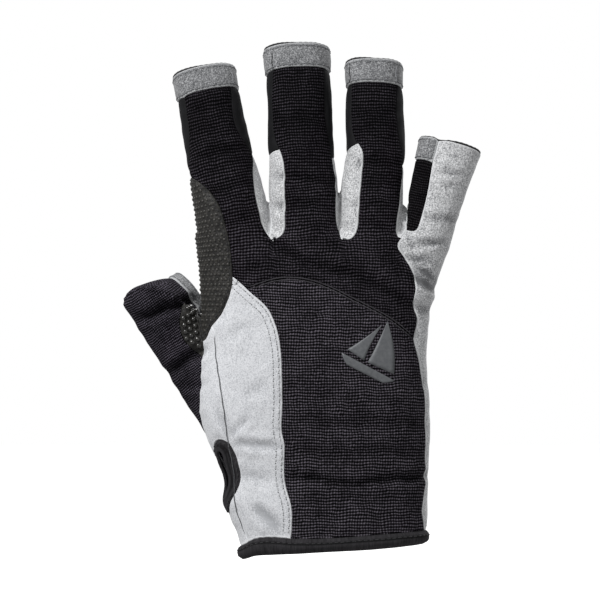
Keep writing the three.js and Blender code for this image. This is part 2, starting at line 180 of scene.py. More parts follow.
camera = bpy.data.objects.new("camera", bpy.data.cameras.new("camera"))
scene.collection.objects.link(camera)
camera.data.sensor_width = SENSOR
camera.data.lens = SENSOR * CAMERA_DISTANCE / VIEW_WIDTH
camera.data.clip_end = 50
middle = (cad_low + cad_high) / 2
camera.location = (middle.x + CAMERA_SHIFT[0], -CAMERA_DISTANCE * MM, middle.z + CAMERA_SHIFT[1])
camera.rotation_euler = (math.radians(90), 0, 0)
scene.camera = camera


def node_material(name):
    """A new material with only its shader and output. Returns it, its node tree and the shader."""
    material = bpy.data.materials.new(name)
    material.use_nodes = True
    tree = material.node_tree
    shader = tree.nodes["Principled BSDF"]
    return material, tree, shader


AMBIENT = 0.42  # how much of the white surroundings' brightness lights the glove


def build_stage():
    world = bpy.data.worlds.new("studio")
    scene.world = world
    world.use_nodes = True
    background = world.node_tree.nodes["Background"]
    path = world.node_tree.nodes.new("ShaderNodeLightPath")
    strength = world.node_tree.nodes.new("ShaderNodeMapRange")
    strength.inputs["To Min"].default_value = AMBIENT
    world.node_tree.links.new(path.outputs["Is Camera Ray"], strength.inputs["Value"])
    world.node_tree.links.new(strength.outputs[0], background.inputs[1])
    background.inputs[0].default_value = (1, 1, 1, 1)
    bpy.ops.mesh.primitive_circle_add(vertices=96, radius=4, fill_type="TRIFAN", location=(0, 0, FLOOR))
    floor = bpy.context.object
    floor.name = "floor"
    material, tree, shader = node_material("pale_floor")
    noise = tree.nodes.new("ShaderNodeTexNoise")
    noise.inputs["Scale"].default_value = 3
    ramp = tree.nodes.new("ShaderNodeValToRGB")
    ramp.color_ramp.elements[0].color = (0.93, 0.93, 0.93, 1)
    ramp.color_ramp.elements[1].color = (0.95, 0.95, 0.95, 1)
    tree.links.new(noise.outputs["Fac"], ramp.inputs["Fac"])
    tree.links.new(ramp.outputs["Color"], shader.inputs["Base Color"])
    shader.inputs["Roughness"].default_value = 0.9
    shader.inputs["Emission Color"].default_value = (1, 1, 1, 1)
    shader.inputs["Emission Strength"].default_value = 0.6
    floor.data.materials.append(material)
    floor.visible_diffuse = floor.visible_glossy = False
    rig.stage(floor)
    for name, place, size, power in (
        ("key", (-0.8, -0.8, 1.2), 0.35, 24),
        ("fill", (0.9, -1.1, 0.15), 0.7, 1.8),
        ("back", (0.7, 0.9, 1.1), 0.5, 13),
    ):
        light = bpy.data.lights.new(name, "AREA")
        light.size = size
        light.energy = power
        lamp = bpy.data.objects.new(name, light)
        lamp.location = place
        lamp.rotation_euler = (middle - Vector(place)).to_track_quat("-Z", "Y").to_euler()
        scene.collection.objects.link(lamp)
    scene.view_settings.view_transform = "Standard"


build_stage()

# ---- Smooth functions ----


def through(*knots):
    """A smooth function through (place, value) knots, flat beyond the ends."""
    x = np.array([k[0] for k in knots], float)
    y = np.array([k[1] for k in knots], float)
    slope = np.gradient(y, x) if len(x) > 2 else np.full(len(x), (y[-1] - y[0]) / (x[-1] - x[0]))
    secant = np.diff(y) / np.diff(x)
    for i in range(1, len(x) - 1):
        if secant[i - 1] * secant[i] <= 0:
            slope[i] *= 0.3

    def f(t):
        t = np.clip(np.asarray(t, float), x[0], x[-1])
        i = np.clip(np.searchsorted(x, t, side="right") - 1, 0, len(x) - 2)
        h = x[i + 1] - x[i]
        k = (t - x[i]) / h
        a = (1 + 2 * k) * (1 - k) ** 2 * y[i] + k * (1 - k) ** 2 * h * slope[i]
        return a + k * k * (3 - 2 * k) * y[i + 1] + k * k * (k - 1) * h * slope[i + 1]

    return f


def smoothstep(t, start, end):
    k = np.clip((t - start) / (end - start), 0, 1)
    return k * k * (3 - 2 * k)


def smooth_min(a, b, k):
    h = np.maximum(k - np.abs(a - b), 0) / k
    return np.minimum(a, b) - h * h * k / 4


def unit(v):
    v = np.asarray(v, float)
    return v / np.maximum(np.linalg.norm(v, axis=-1, keepdims=True), 1e-9)


# ---- The glove's form ----
ROUNDNESS = 2.4  # power of the superellipse that every section is
ROOT_JOINT = 5.0  # how far a finger's first joint is above its web
BAND = 9.2  # height of a fingertip's band
CAD_BAND = 8.0  # the same in the CAD model
HAND_TOP = 127.2  # where the hand ends under the fingers
HAND_BOTTOM = -6.0  # the form goes on below the cuff, whose edge is cut later
BEYOND = 5.0  # and this far past a finger's opening
THUMB_REACH = 64.0  # how far the thumb's base tube goes down into the hand
FINGERS_FROM = 103.0  # the fingers fade into the hand below this height
TAPER = 0.8  # how much less deep a finger's tube is at its tip
SOFTNESS = 4.5  # over what distance two forms run into each other


def section(u, v, half_width, half_depth):
    """Distance to a superellipse, along the ray from its middle."""
    r = (np.abs(u / half_width) ** ROUNDNESS + np.abs(v / half_depth) ** ROUNDNESS) ** (1 / ROUNDNESS)
    r = np.maximum(r, 1e-3)
    return np.hypot(u, v) * (1 - 1 / r)


def rounding(sine, cosine):
    """How much further out a superellipse is than a circle, for an angle's sine and cosine."""
    return (np.abs(sine) ** ROUNDNESS + np.abs(cosine) ** ROUNDNESS) ** (-1 / ROUNDNESS)


def section_angle(u, v, half_width, half_depth):
    """Degrees round a section: 0 on the back, 90 on the little finger's side, 180 on the palm."""
    return np.degrees(np.arctan2(u / half_width, -v / half_depth))


hand_left = through(
    (-8, -36), (3, -36.2), (8, -36.6), (15, -39.5), (22, -42.6), (29, -41.9), (38, -44.8), (46, -47.8),
    (60, -50.8), (70, -50.9), (82, -50), (93, -50.5), (103, -51.3), (112, -52), (122, -52.5), (128, -52.8),
)
hand_right = through(
    (-8, 38.2), (2, 38.5), (8, 39), (22, 39.2), (38, 39.3), (46, 40), (60, 40), (70, 39), (82, 38.5),
    (93, 39.4), (105, 40.6), (112, 40.8), (119, 43.2), (128, 46.4),
)
hand_depth = through(
    (-8, 17.3), (8, 17.5), (30, 16.6), (60, 17.5), (85, 16.7), (100, 15.5), (115, 14), (124, 12.6),
    (130, 11.5),
)


class Finger:
    """A curled tube. s is along it from the web up, u across to the little side, v towards the palm."""

    def __init__(self, name, widths, depth, curl, sway):
        root, knuckle = (np.array(joints[f"{name}_{part}_bend"]["pos_m"]) / MM for part in ("root", "middle"))
        flat = unit((knuckle - root) * [1, 0, 1])
        self.along = flat
        self.across = np.array([flat[2], 0, -flat[0]])
        self.root = root * [1, 0, 1] - ROOT_JOINT * flat
        low, high = (np.array(c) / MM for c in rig.box(f"{name}_tip_band"))
        self.length = float((((low + high) / 2 - self.root) * [1, 0, 1]) @ flat + CAD_BAND / 2)
        self.knuckle = float(((knuckle - self.root) * [1, 0, 1]) @ flat)
        self.widths = through(*widths)
        self.depth = depth
        self.curl = curl
        self.sway = through(*sway)

    def coordinates(self, p):
        d = p - self.root
        s0 = d @ self.along
        share = np.clip(s0 / self.length, 0, 1.3)
        slope = 2 * self.curl * share / self.length
        rise = p[:, 1] - self.curl * share**2
        s = s0 + rise * slope / (1 + slope**2)
        return s, d @ self.across - self.sway(s), rise / np.sqrt(1 + slope**2)

    def distance(self, p):
        s, u, v = self.coordinates(p)
        return np.maximum(section(u, v, self.widths(s), self.depth_at(s)), s - self.length - BEYOND)

    def depth_at(self, s):
        return self.depth - TAPER * np.clip(s / self.length, 0, 1)

    def axis_point(self, s, u=0.0, v=0.0):
        """The place of (s, u, v), near the finger's middle line."""
        s, u, v = (np.asarray(k, float)[..., None] for k in (s, u, v))
        share = s / self.length
        palm = np.array([0.0, 1, 0])
        tangent = unit(self.along + 2 * self.curl * share / self.length * palm)
        centre = self.root + self.along * s + self.curl * share**2 * palm + self.across * self.sway(s)
        return centre + self.across * u + unit(palm - tangent * tangent[..., 1:2]) * v


# Each finger's half widths along it, its half depth, how far its tip curls, and its sway to the side.
FINGER_FORMS = {
    "index": (
        ((-14, 12.8), (0, 14.6), (8, 14.9), (14, 14.35), (31, 13.6), (45, 12.8), (58, 12.45), (67, 12.5)),
        11.5, 10, ((0, 0.8), (14, 0.95), (31, 0.4), (45, 0.35), (58, 0.75), (67, 0.75)),
    ),
    "middle": (
        ((-14, 13), (0, 14.5), (12, 14.4), (18, 14.1), (27, 13.5), (42, 13.1), (75, 12.95)),
        11.8, 11, ((0, 0), (1, 0)),
    ),
    "ring": (
        ((-14, 11.5), (0, 12.7), (14, 13.0), (24, 12.3), (30, 12.0), (35, 11.8), (48, 11.7), (63, 11.2)),
        11, 10, ((0, 0), (16, -0.1), (29, 0.6), (35, 1.0), (48, 0.6), (69, -0.1)),
    ),
    "little": (
        ((-14, 8.9), (0, 10.2), (14, 10.5), (25, 11.4), (35, 12.2), (41, 12.7)),
        10, 4, ((0, -0.6), (30, -0.6), (41, -0.4)),
    ),
}
FINGERS = {name: Finger(name, *form) for name, form in FINGER_FORMS.items()}
NAMES = list(FINGERS)

# The thumb is two tubes that meet in a mitre at the knuckle.
THUMB_KNUCKLE = np.array([-67.3, 8.0, 98.4])
THUMB_TIP = np.array([-54.1, 21.0, 102.4])
THUMB_OPENING = unit([0.75, 0.25, 0.61])  # the way the thumb's end faces
THUMB_HALF, THUMB_DEPTH = 12.0, 11.0  # half the width and half the depth at the knuckle
THUMB_BAND = 4.0
THUMB_CORNER = 17.4  # how far the corner at the knuckle reaches
thumb_way = unit([-0.539, 0, 0.842])
end_way = unit(THUMB_TIP - THUMB_KNUCKLE)
mitre = unit(thumb_way + end_way)
corner_way = unit(thumb_way - end_way)


def tube_frame(way, sideways):
    across = unit(np.asarray(sideways) - way * np.dot(way, sideways))
    return across, np.cross(way, across)


thumb_across, thumb_deep = tube_frame(thumb_way, [0.842, 0, 0.539])
end_across, end_deep = tube_frame(end_way, [0.41, 0, -0.91])


def thumb_coordinates(p):
    """Across the mitre, (along, across, deep) of the base tube and of the end tube, past the opening."""
    d = p - THUMB_KNUCKLE
    base = (d @ thumb_way, d @ thumb_across, d @ thumb_deep)
    end = (d @ end_way, d @ end_across, d @ end_deep)
    return d @ mitre, base, end, (p - THUMB_TIP) @ THUMB_OPENING


def thumb_distance(p):
    over, (s, u, w), (e, a, b), past = thumb_coordinates(p)
    base_depth = np.interp(s, [-66, -38, 0], [6, 10.4, THUMB_DEPTH])
    base = np.maximum(section(u, w, THUMB_HALF, base_depth), over * 0.7)
    end_depth = np.interp(e, [0, 19], [THUMB_DEPTH, 9])
    end = np.maximum(section(a, b, THUMB_HALF, end_depth), -over * 0.7)
    both = np.minimum(np.maximum(base, -s - THUMB_REACH), end)
    chamfer = (p - THUMB_KNUCKLE) @ corner_way - THUMB_CORNER
    return np.maximum(-smooth_min(-both, -chamfer, SOFTNESS), past - 0.8)


def hand_section(p):
    """A place across and deep in the hand's section at its height, with the section's half sizes."""
    left, right = hand_left(p[:, 2]), hand_right(p[:, 2])
    return p[:, 0] - (left + right) / 2, p[:, 1], (right - left) / 2, hand_depth(p[:, 2])


def hand_distance(p):
    return np.maximum(np.maximum(section(*hand_section(p)), p[:, 2] - HAND_TOP), HAND_BOTTOM - p[:, 2])


def finger_distances(p):
    return np.stack([f.distance(p) for f in FINGERS.values()])


def field(p):
    """Signed distance to the glove's smooth form, roughly."""
    d = hand_distance(p)
    near = p[:, 2] > FINGERS_FROM - 5
    if near.any():
        z = p[near][:, 2]
        fingers = finger_distances(p[near])
        fingers = np.where(z > FINGERS_FROM, fingers, fingers + (FINGERS_FROM - z) * 0.8)
        # Near their webs the fingers run into each other softly, higher up hardly at all.
        softness = 1.6 - 1.2 * smoothstep(z, 131, 137)
        joined = fingers[0]
        for other in fingers[1:]:
            joined = smooth_min(joined, other, softness)
        d[near] = smooth_min(d[near], joined, SOFTNESS)
    side = (p[:, 0] < -24) & (p[:, 2] > 26) & (p[:, 2] < 130)
    if side.any():
        q = p[side]
        softness = 6 - 5.4 * smoothstep((q - THUMB_KNUCKLE) @ mitre, -6, 2)
        d[side] = smooth_min(d[side], thumb_distance(q), softness)
    return d


def gradient(p, step=0.05):
    g = np.empty_like(p)
    for axis in range(3):
        shift = np.zeros(3)
        shift[axis] = step
        g[:, axis] = (field(p + shift) - field(p - shift)) / (2 * step)
    return g


def project(p, rounds=3):
    for _ in range(rounds):
        g = gradient(p)
        move = (field(p) / np.maximum((g * g).sum(1), 0.05))[:, None] * g
        length = np.linalg.norm(move, axis=1, keepdims=True)
        p = p - move * np.minimum(1, 1.5 / np.maximum(length, 1e-9))
    return p


# ---- The surface as triangles ----
GRID = 1.5
GRID_LOW, GRID_HIGH = np.array([-88.0, -21.0, -8.0]), np.array([66.0, 36.0, 216.0])


def surface_nets():
    """The form's surface as points and quads, with one point in each crossed cell of a grid."""
    counts = np.ceil((GRID_HIGH - GRID_LOW) / GRID).astype(int) + 1
    axes = [GRID_LOW[a] + GRID * np.arange(counts[a]) for a in range(3)]
    mesh = np.stack(np.meshgrid(*axes, indexing="ij"), -1).reshape(-1, 3)
    values = field(mesh).reshape(counts)
    inside = values < 0
    total = np.zeros((*(counts - 1), 3))
    hits = np.zeros(counts - 1)
    crossings = []
    for axis in range(3):
        first = [slice(None)] * 3
        second = [slice(None)] * 3
        first[axis] = slice(0, -1)
        second[axis] = slice(1, None)
        a, b = values[tuple(first)], values[tuple(second)]
        crossed = (a < 0) != (b < 0)
        at = np.argwhere(crossed)
        t = a[crossed] / (a[crossed] - b[crossed])
        place = GRID_LOW + GRID * at.astype(float)
        place[:, axis] += GRID * t
        crossings.append((axis, at, inside[tuple(first)][crossed]))
        others = [k for k in range(3) if k != axis]
        for i in (0, 1):
            for j in (0, 1):
                cell = at.copy()
                cell[:, others[0]] -= i
                cell[:, others[1]] -= j
                np.add.at(total, tuple(cell.T), place)
                np.add.at(hits, tuple(cell.T), 1)
    index = -np.ones(counts - 1, int)
    used = hits > 0
    index[used] = np.arange(used.sum())
    points = total[used] / hits[used][:, None]
    quads = []
    for axis, at, starts_inside in crossings:
        b, c = [(axis + 1) % 3, (axis + 2) % 3]
        ring = []
        for i, j in ((1, 1), (0, 1), (0, 0), (1, 0)):
            cell = at.copy()
            cell[:, b] -= i
            cell[:, c] -= j
            ring.append(index[tuple(cell.T)])
        quad = np.stack(ring, 1)
        quad[~starts_inside] = quad[~starts_inside][:, ::-1]
        quads.append(quad)
    return points, np.concatenate(quads)


def edges_of(faces):
    """The edges of triangles or of quads, each once."""
    corners = faces.shape[1]
    e = np.concatenate([faces[:, [i, (i + 1) % corners]] for i in range(corners)])
    return np.unique(np.sort(e, 1), axis=0)


def across_edges(points, edges):
    """For each point, the sum of the points at the other ends of its edges, and their number."""
    total, count = np.zeros_like(points), np.zeros(len(points))
    for a, b in ((0, 1), (1, 0)):
        np.add.at(total, edges[:, a], points[edges[:, b]])
        np.add.at(count, edges[:, a], 1)
    return total, count


def relax(points, quads, rounds):
    e = edges_of(quads)
    for _ in range(rounds):
        total, count = across_edges(points, e)
        points = project(points + 0.6 * (total / count[:, None] - points), 2)
    return points


def to_triangles(points, quads):
    first = np.linalg.norm(points[quads[:, 0]] - points[quads[:, 2]], axis=1)
    second = np.linalg.norm(points[quads[:, 1]] - points[quads[:, 3]], axis=1)
    a = np.where((first <= second)[:, None], quads[:, [0, 1, 2]], quads[:, [0, 1, 3]])
    b = np.where((first <= second)[:, None], quads[:, [0, 2, 3]], quads[:, [1, 2, 3]])
    return np.concatenate([a, b])


# ---- The pattern: which piece of cloth each place belongs to ----
# Seams on the back of the hand, as x at a height.
thumb_panel_edge = through(
    (8, -15.3), (22, -15.7), (27, -17.4), (35, -18.4), (45, -18), (50, -19.4), (60, -19), (72, -19.1),
    (85, -19.9), (93, -21.8), (101, -26.4), (104, -30), (112.4, -39.2),
)
grip_edge = through(
    (70, -54), (78, -51.4), (85.6, -50.1), (90.9, -48.2), (95.5, -44.8), (101.2, -41.3), (112.2, -39),
    (119, -39.4), (126, -40.2), (132, -41.7), (139.8, -44), (144.4, -47), (148.2, -50.9), (151.2, -55.5),
    (153, -60),
)
inner_seam = through(
    (2, -32), (7, -33.3), (21, -37.9), (33, -38.3), (47, -40.9), (56.5, -42.1), (69.5, -44), (79.4, -45.5),
    (91, -46), (96, -45.5),
)
little_edge = through(
    (0, 37.9), (13.6, 37.8), (19, 37), (23, 37.8), (36.6, 38.5), (60.3, 38.5), (67.2, 37.8), (73.3, 36.6),
    (80.2, 35.4), (86, 33.7), (90, 34.3), (94, 35.2), (101.6, 33.2), (107.6, 34.3), (112.2, 33.5),
    (116, 31.6), (120.2, 29.3), (122.5, 27.2), (127, 26.2),
)
arch = through(
    (-31, 107.4), (-29.2, 108.2), (-17.9, 111.1), (-11.8, 110.8), (-5.6, 109.4), (0.6, 107.0), (8.4, 103),
    (14, 100.3), (19.6, 97.4), (25.2, 94), (30.2, 90.1), (35, 86),
)
cuff_edge = through((-38, -1.5), (-35, -1.3), (-31, 0.1), (-25, 0.6), (-12, 1.3), (0, 2), (20, 3.1), (40, 5))
binding_height = through((-38, 5), (-34, 6.4), (-30, 7.2), (-25, 7.5), (-15, 6.4), (24, 6.1), (40, 5.8))

# The vent beside the thumb: its middle's height, its half height, half width and tape's width.
VENT_MIDDLE, VENT_RISE, VENT_HALF, VENT_TAPE = 31.6, 12.0, 1.5, 3.3
VENT_DEGREE = 0.215  # the length that stands for a degree round the wrist there
# Where the vent is round the wrist, in degrees, at a height.
vent_angle = through((16, -84), (22, -82), (30, -76), (38, -71), (47, -62))

# Where each gusset ends and the black strip starts, along the finger: thumb side, little side.
GUSSET_TOP = {"index": (31.5, 31.5), "middle": (33.5, 31.5), "ring": (34.5, 29.5)}
# Where the back of a finger ends on each side, as an angle round it at a place along it.
BACK_RIGHT = {
    "index": through(
        (-3, 62), (1, 50), (4, 46), (15, 47), (20, 52), (25, 60), (31, 77), (33, 70), (38, 52), (60, 50),
    ),
    "middle": through((-3, 75), (1, 66), (6, 58), (14, 60), (21, 70), (30, 68), (33, 66), (38, 58), (70, 56)),
    "ring": through((-3, 46), (3, 48), (11, 54), (18, 65), (26, 80), (30, 78), (36, 60), (66, 56)),
}
BACK_LEFT = {
    "index": through((0, -95), (66, -95)),
    "middle": through((-2, -48), (2, -36), (5, -33), (27, -33), (32, -36), (35, -44), (40, -54), (70, -54)),
    "ring": through((-2, -40), (3, -26), (8, -24), (29, -23), (35, -29), (37, -40), (42, -54), (66, -54)),
}
index_strip = through((26, -75), (31, -72), (36, -60), (60, -52))
PATCH_EDGE = through((0, -24), (4, -22), (19, -22), (32, -28))  # of the little finger's knit patch
PATCH_MARGIN = 1.4  # from the patch to the ring finger
RING = NAMES.index("ring")
PALE_TOP = 112.4  # how high the pale panel reaches
FINGER_SEAMS_FROM = 112.0  # the height from which a finger can have seams of its own
PALM_SEAM = 122.0  # the angle round a finger where its palm side starts
THUMB_START = 49.5  # along THUMB_SIDE, where the fabric starts to follow the thumb
THUMB_FULL = 55.4  # and where it follows it fully
THUMB_SIDE = np.array([-0.94, 0.342, 0.0])
# The border of the thumb's grip towards its back: heights, and x there.
THUMB_GRIP_EDGE = (
    (79, 81.5, 84, 88, 92, 96, 100, 103, 106), (-50, -54, -57, -59.2, -60, -60.2, -59, -56.5, -53),
)
# Where the pieces of a finger are divided, along it.
SPLIT_ROOT = -1.0
SPLIT_MIDDLE = {"index": 16.5, "middle": 16.5, "ring": 16.5, "little": 12.5}

PANELS = (
    "none cuff_binding vent_tape thumb_panel thumb_gusset back_panel knuckle_panel side_grip palm palm_grip "
    "heel gusset_index gusset_middle gusset_ring gusset_little strip_index_left strip_index_right "
    "strip_middle_left strip_middle_right strip_ring_left strip_ring_right strip_little knit_little "
    "sliver_index band_index band_middle band_ring band_little band_thumb thumb_knit thumb_grip"
).split()
PANEL = {name: i for i, name in enumerate(PANELS)}
ZONES = ["hand"] + [f"{n}_{part}" for n in NAMES for part in ("base", "end")] + ["thumb_base", "thumb_end"]
ZONE = {name: i for i, name in enumerate(ZONES)}
BODIES = len(ZONES)


def hand_angle(p):
    return section_angle(*hand_section(p))


def vent_place(p, angle):
    """How far a place is from the vent's middle, as a share of the hole, and as a share of its tape."""
    z = p[:, 2]
    reach = (angle - vent_angle(z)) * VENT_DEGREE
    rise = z - VENT_MIDDLE
    hole = np.hypot(reach / VENT_HALF, rise / VENT_RISE)
    tape = np.hypot(reach / (VENT_HALF + VENT_TAPE), rise / (VENT_RISE + VENT_TAPE))
    return hole, tape


def hand_panels(p):
    """The panel of each place, as far as the hand's own seams go."""
    x, _, z = p.T
    angle = hand_angle(p)
    panel = np.full(len(p), PANEL["palm"])

    def put(where, name):
        panel[where] = PANEL[name]

    back = (np.abs(angle) < 90) & (x < little_edge(z)) & (x >= thumb_panel_edge(z))
    back |= (np.abs(angle) < 90) & (z > PALE_TOP) & (x < little_edge(z))
    high = z > arch(x)
    put(back & ~high, "back_panel")
    put(back & high, "knuckle_panel")
    pale = (angle > -112) & (angle < 20) & (x < thumb_panel_edge(z)) & (z < PALE_TOP) & (x > grip_edge(z))
    put(pale, "thumb_panel")
    put(pale & (x < inner_seam(z)) & (z < 91), "thumb_gusset")
    put((x < grip_edge(z)) & (angle > -118) & (angle < 0) & (z > 86), "side_grip")
    put((angle < -112) & (angle > -150) & (z < 60), "heel")
    beside = np.maximum(np.abs(((angle + 360) % 360) - 160) - 32, 0)
    corner = np.hypot(beside / 10, np.maximum(np.abs(z - 66) - 36, 0) / 8)
    put((np.abs(angle) > 100) & (corner < 1), "palm_grip")
    hole, tape = vent_place(p, angle)
    at_vent = (angle < -20) & (angle > -130)
    put(at_vent & (tape < 1), "vent_tape")
    put(at_vent & (hole < 1), "none")
    put(z < cuff_edge(x) + binding_height(x), "cuff_binding")
    put(z < cuff_edge(x), "none")
    return panel


def label_fingers(p, panel, zone):
    """Marks the fingers' panels and zones in the two arrays."""
    high = np.flatnonzero(p[:, 2] > FINGER_SEAMS_FROM)
    q = p[high]
    x, _, z = q.T
    distances = finger_distances(q)
    nearest = distances.argmin(0)
    by_thumb = (x < -50) & (z < 118) & (thumb_distance(q) < distances[0])
    for number, (name, finger) in enumerate(FINGERS.items()):
        s, u, v = finger.coordinates(q)
        turn = section_angle(u, v, finger.widths(s), finger.depth)
        mine = (nearest == number) & ~by_thumb
        on = mine & (s > SPLIT_ROOT - 6)
        own = np.full(len(q), -1)

        def put(where, panel_name):
            own[on & where] = PANEL[panel_name]

        if name == "little":
            own[on] = PANEL["palm"]
            patch = (turn > -138) & (turn < PATCH_EDGE(s)) & (s > 4.2)
            put(patch & (distances[RING] > PATCH_MARGIN), "knit_little")
            put((turn <= -138) & (turn > -165), "gusset_little")
            put((turn <= -138) & (turn > -165) & (s > SPLIT_MIDDLE[name]), "strip_little")
        else:
            right, left = BACK_RIGHT[name](s), BACK_LEFT[name](s)
            on_right, on_left = (turn >= right) & (turn < PALM_SEAM), (turn <= left) & (turn > -PALM_SEAM)
            put((turn < right) & (turn > left), "knuckle_panel")
            put(on_right | on_left, f"gusset_{name}")
            top_left, top_right = GUSSET_TOP[name]
            if name == "index":
                put((turn < 60) & (turn > -PALM_SEAM) & (x < grip_edge(z)) & (z < 154), "side_grip")
                beside = (turn > -PALM_SEAM) & (own != PANEL["side_grip"])
                put(beside & (turn < -62) & (s > 24), "sliver_index")
                slant = top_left - np.clip((turn + 100) / 38, 0, 1) * 4
                put((s > slant) & (turn < index_strip(s)) & (turn > -PALM_SEAM), "strip_index_left")
                beyond = (turn > index_strip(s)) & (own == PANEL["sliver_index"])
                put(beyond & (turn < -30) & (s > 25), "knuckle_panel")
            else:
                slant = top_left + np.clip((turn + 90) / 45, -1, 1) * 1.5
                put(on_left & (s > slant), f"strip_{name}_left")
            put(on_right & (s > top_right), f"strip_{name}_right")
            put(np.abs(turn) >= PALM_SEAM, "palm")
        put(s > finger.length - BAND, f"band_{name}")
        if name == "little":
            put((s > finger.length - BAND) & (turn > -27) & (turn < 150), "palm")
        put(s > finger.length, "none")
        # Below the split the hand's own seams hold, except in the webs.
        low = s < SPLIT_ROOT
        web = (own == PANEL[f"gusset_{name}"]) & (np.abs(turn) < 118) & (s > SPLIT_ROOT - 5) & (z > 123.5)
        if name == "index":
            web &= turn >= 0
        if name == "little":
            web[:] = False
        if name == "ring":
            web &= (turn <= 0) | (z >= 124)
        take = on & (~low | web) & (own >= 0)
        panel[high[take]] = own[take]
        zone[high[mine & (s > SPLIT_ROOT)]] = ZONE[f"{name}_base"]
        zone[high[mine & (s > SPLIT_MIDDLE[name])]] = ZONE[f"{name}_end"]


def label_thumb(p, panel, zone):
    """The same for the thumb."""
    near = np.flatnonzero((p[:, 0] < -34) & (p[:, 2] > 36) & (p[:, 2] < 121))
    q = p[near]
    x, _, z = q.T
    thumb, index_near = thumb_distance(q), FINGERS["index"].distance(q)
    over, (_, u, w), (_, a, b), past = thumb_coordinates(q)
    mine = (thumb < hand_distance(q) - 0.3) & ((thumb < index_near) | (z < 106))
    own = np.full(len(q), PANEL["thumb_knit"])
    grip = (x > np.interp(z, *THUMB_GRIP_EDGE)) & (z > 77) & (over < 0.5)
    grip |= (over < 0) & (w * np.sign(thumb_deep[1]) > 2) & (u > -8)
    grip |= (over >= 0) & (b * np.sign(end_deep[1]) > 2) & (a > -7)
    own[grip] = PANEL["thumb_grip"]
    own[(over > -2) & (past > -THUMB_BAND)] = PANEL["band_thumb"]
    own[(over > -2) & (past > 0.3)] = PANEL["none"]
    panel[near[mine]] = own[mine]
    moving = (q @ THUMB_SIDE > THUMB_START) & (z > 40) & ((thumb < index_near) | (z < 104))
    zone[near[moving]] = ZONE["thumb_base"]
    zone[near[moving & (over > 1) & mine]] = ZONE["thumb_end"]


def label(p):
    """The panel and zone of each place on the smooth form, as panel * BODIES + zone."""
    panel, zone = hand_panels(p), np.zeros(len(p), int)
    label_fingers(p, panel, zone)
    label_thumb(p, panel, zone)
    return panel * BODIES + zone


# ---- Cutting the surface along its seams ----
SNAP = 0.3  # a cut this near a vertex, as a share of the edge, moves the vertex instead
BISECTIONS = 9  # halvings with which a border is found


def split(tri, own, cuts, centre):
    """A triangle's parts and their labels, from the point on each of its edges or None, and its middle."""
    count = sum(c is not None for c in cuts)
    if count == 0:
        known = [k for k in own if k >= 0]
        return [tri], [known[0] if known else -1]
    if count == 3:
        pairs = [(i, pair) for i in range(3) for pair in ((cuts[i], centre), (centre, cuts[i - 1]))]
        return [[tri[i], *pair] for i, pair in pairs], [own[i] for i, _ in pairs]
    i = next(k for k in range(3) if cuts[k] is not None and (count == 1 or cuts[k - 1] is not None))
    p, q, r = tri[i], tri[(i + 1) % 3], tri[(i + 2) % 3]
    first, last = cuts[i], cuts[i - 1]
    near, far = own[i], own[(i + 1) % 3]
    if count == 1:
        return [[p, first, r], [first, q, r]], [near, far]
    return [[p, first, last], [first, q, r], [first, r, last]], [near, far, far]


def cut(points, triangles):
    """The surface with its edges on the seams. Returns points, triangles and each triangle's label."""
    own = label(points)
    e = edges_of(triangles)
    e = e[own[e[:, 0]] != own[e[:, 1]]]
    low, high = np.zeros(len(e)), np.ones(len(e))
    a, b = points[e[:, 0]], points[e[:, 1]]
    for _ in range(BISECTIONS):
        half = (low + high) / 2
        same = label(a + (b - a) * half[:, None]) == own[e[:, 0]]
        low, high = np.where(same, half, low), np.where(same, high, half)
    t = (low + high) / 2
    crossing = project(a + (b - a) * t[:, None], 2)
    # Vertices that move onto a seam.
    ends = np.concatenate([e[:, 0], e[:, 1]])
    shares = np.concatenate([t, 1 - t])
    which = np.concatenate([np.arange(len(e))] * 2)
    order = np.argsort(shares, kind="stable")
    order = order[shares[order] < SNAP]
    points = points.copy()
    moved = np.zeros(len(points), bool)
    for k in order:
        if not moved[ends[k]]:
            moved[ends[k]] = True
            points[ends[k]] = crossing[which[k]]
    live = ~moved[e[:, 0]] & ~moved[e[:, 1]]
    e, crossing = e[live], crossing[live]
    new = {(int(i), int(j)): len(points) + n for n, (i, j) in enumerate(e)}
    points = np.concatenate([points, crossing])
    marked = np.where(moved, -1, own)
    # Only triangles that touch a seam need care.
    labels3 = marked[triangles]
    plain = (labels3[:, 0] == labels3[:, 1]) & (labels3[:, 1] == labels3[:, 2]) & (labels3[:, 0] >= 0)
    made, made_labels, extra = [], [], []
    for tri in triangles[~plain].tolist():
        cuts = [new.get((min(tri[i], tri[(i + 1) % 3]), max(tri[i], tri[(i + 1) % 3]))) for i in range(3)]
        if None not in cuts:
            extra.append(points[tri].mean(0))
        parts, part_labels = split(tri, [int(marked[i]) for i in tri], cuts, len(points) + len(extra) - 1)
        made += parts
        made_labels += part_labels
    if extra:
        points = np.concatenate([points, project(np.array(extra), 2)])
    made, made_labels = np.array(made), np.array(made_labels)
    unsure = made_labels < 0
    if unsure.any():
        made_labels[unsure] = label(points[made[unsure]].mean(1))
    all_labels = np.concatenate([labels3[plain][:, 0], made_labels])
    return points, np.concatenate([triangles[plain], made]), all_labels


def neighbours(triangles):
    """For each triangle's three edges, the triangle across it, or -1."""
    n = len(triangles)
    directed = np.concatenate([triangles[:, [i, (i + 1) % 3]] for i in range(3)])
    key = directed.min(1) * (triangles.max() + 1) + directed.max(1)
    order = np.argsort(key, kind="stable")
    same = key[order][1:] == key[order][:-1]
    across = np.full(3 * n, -1)
    first, second = order[:-1][same], order[1:][same]
    across[first] = second % n
    across[second] = first % n
    return across.reshape(3, n).T


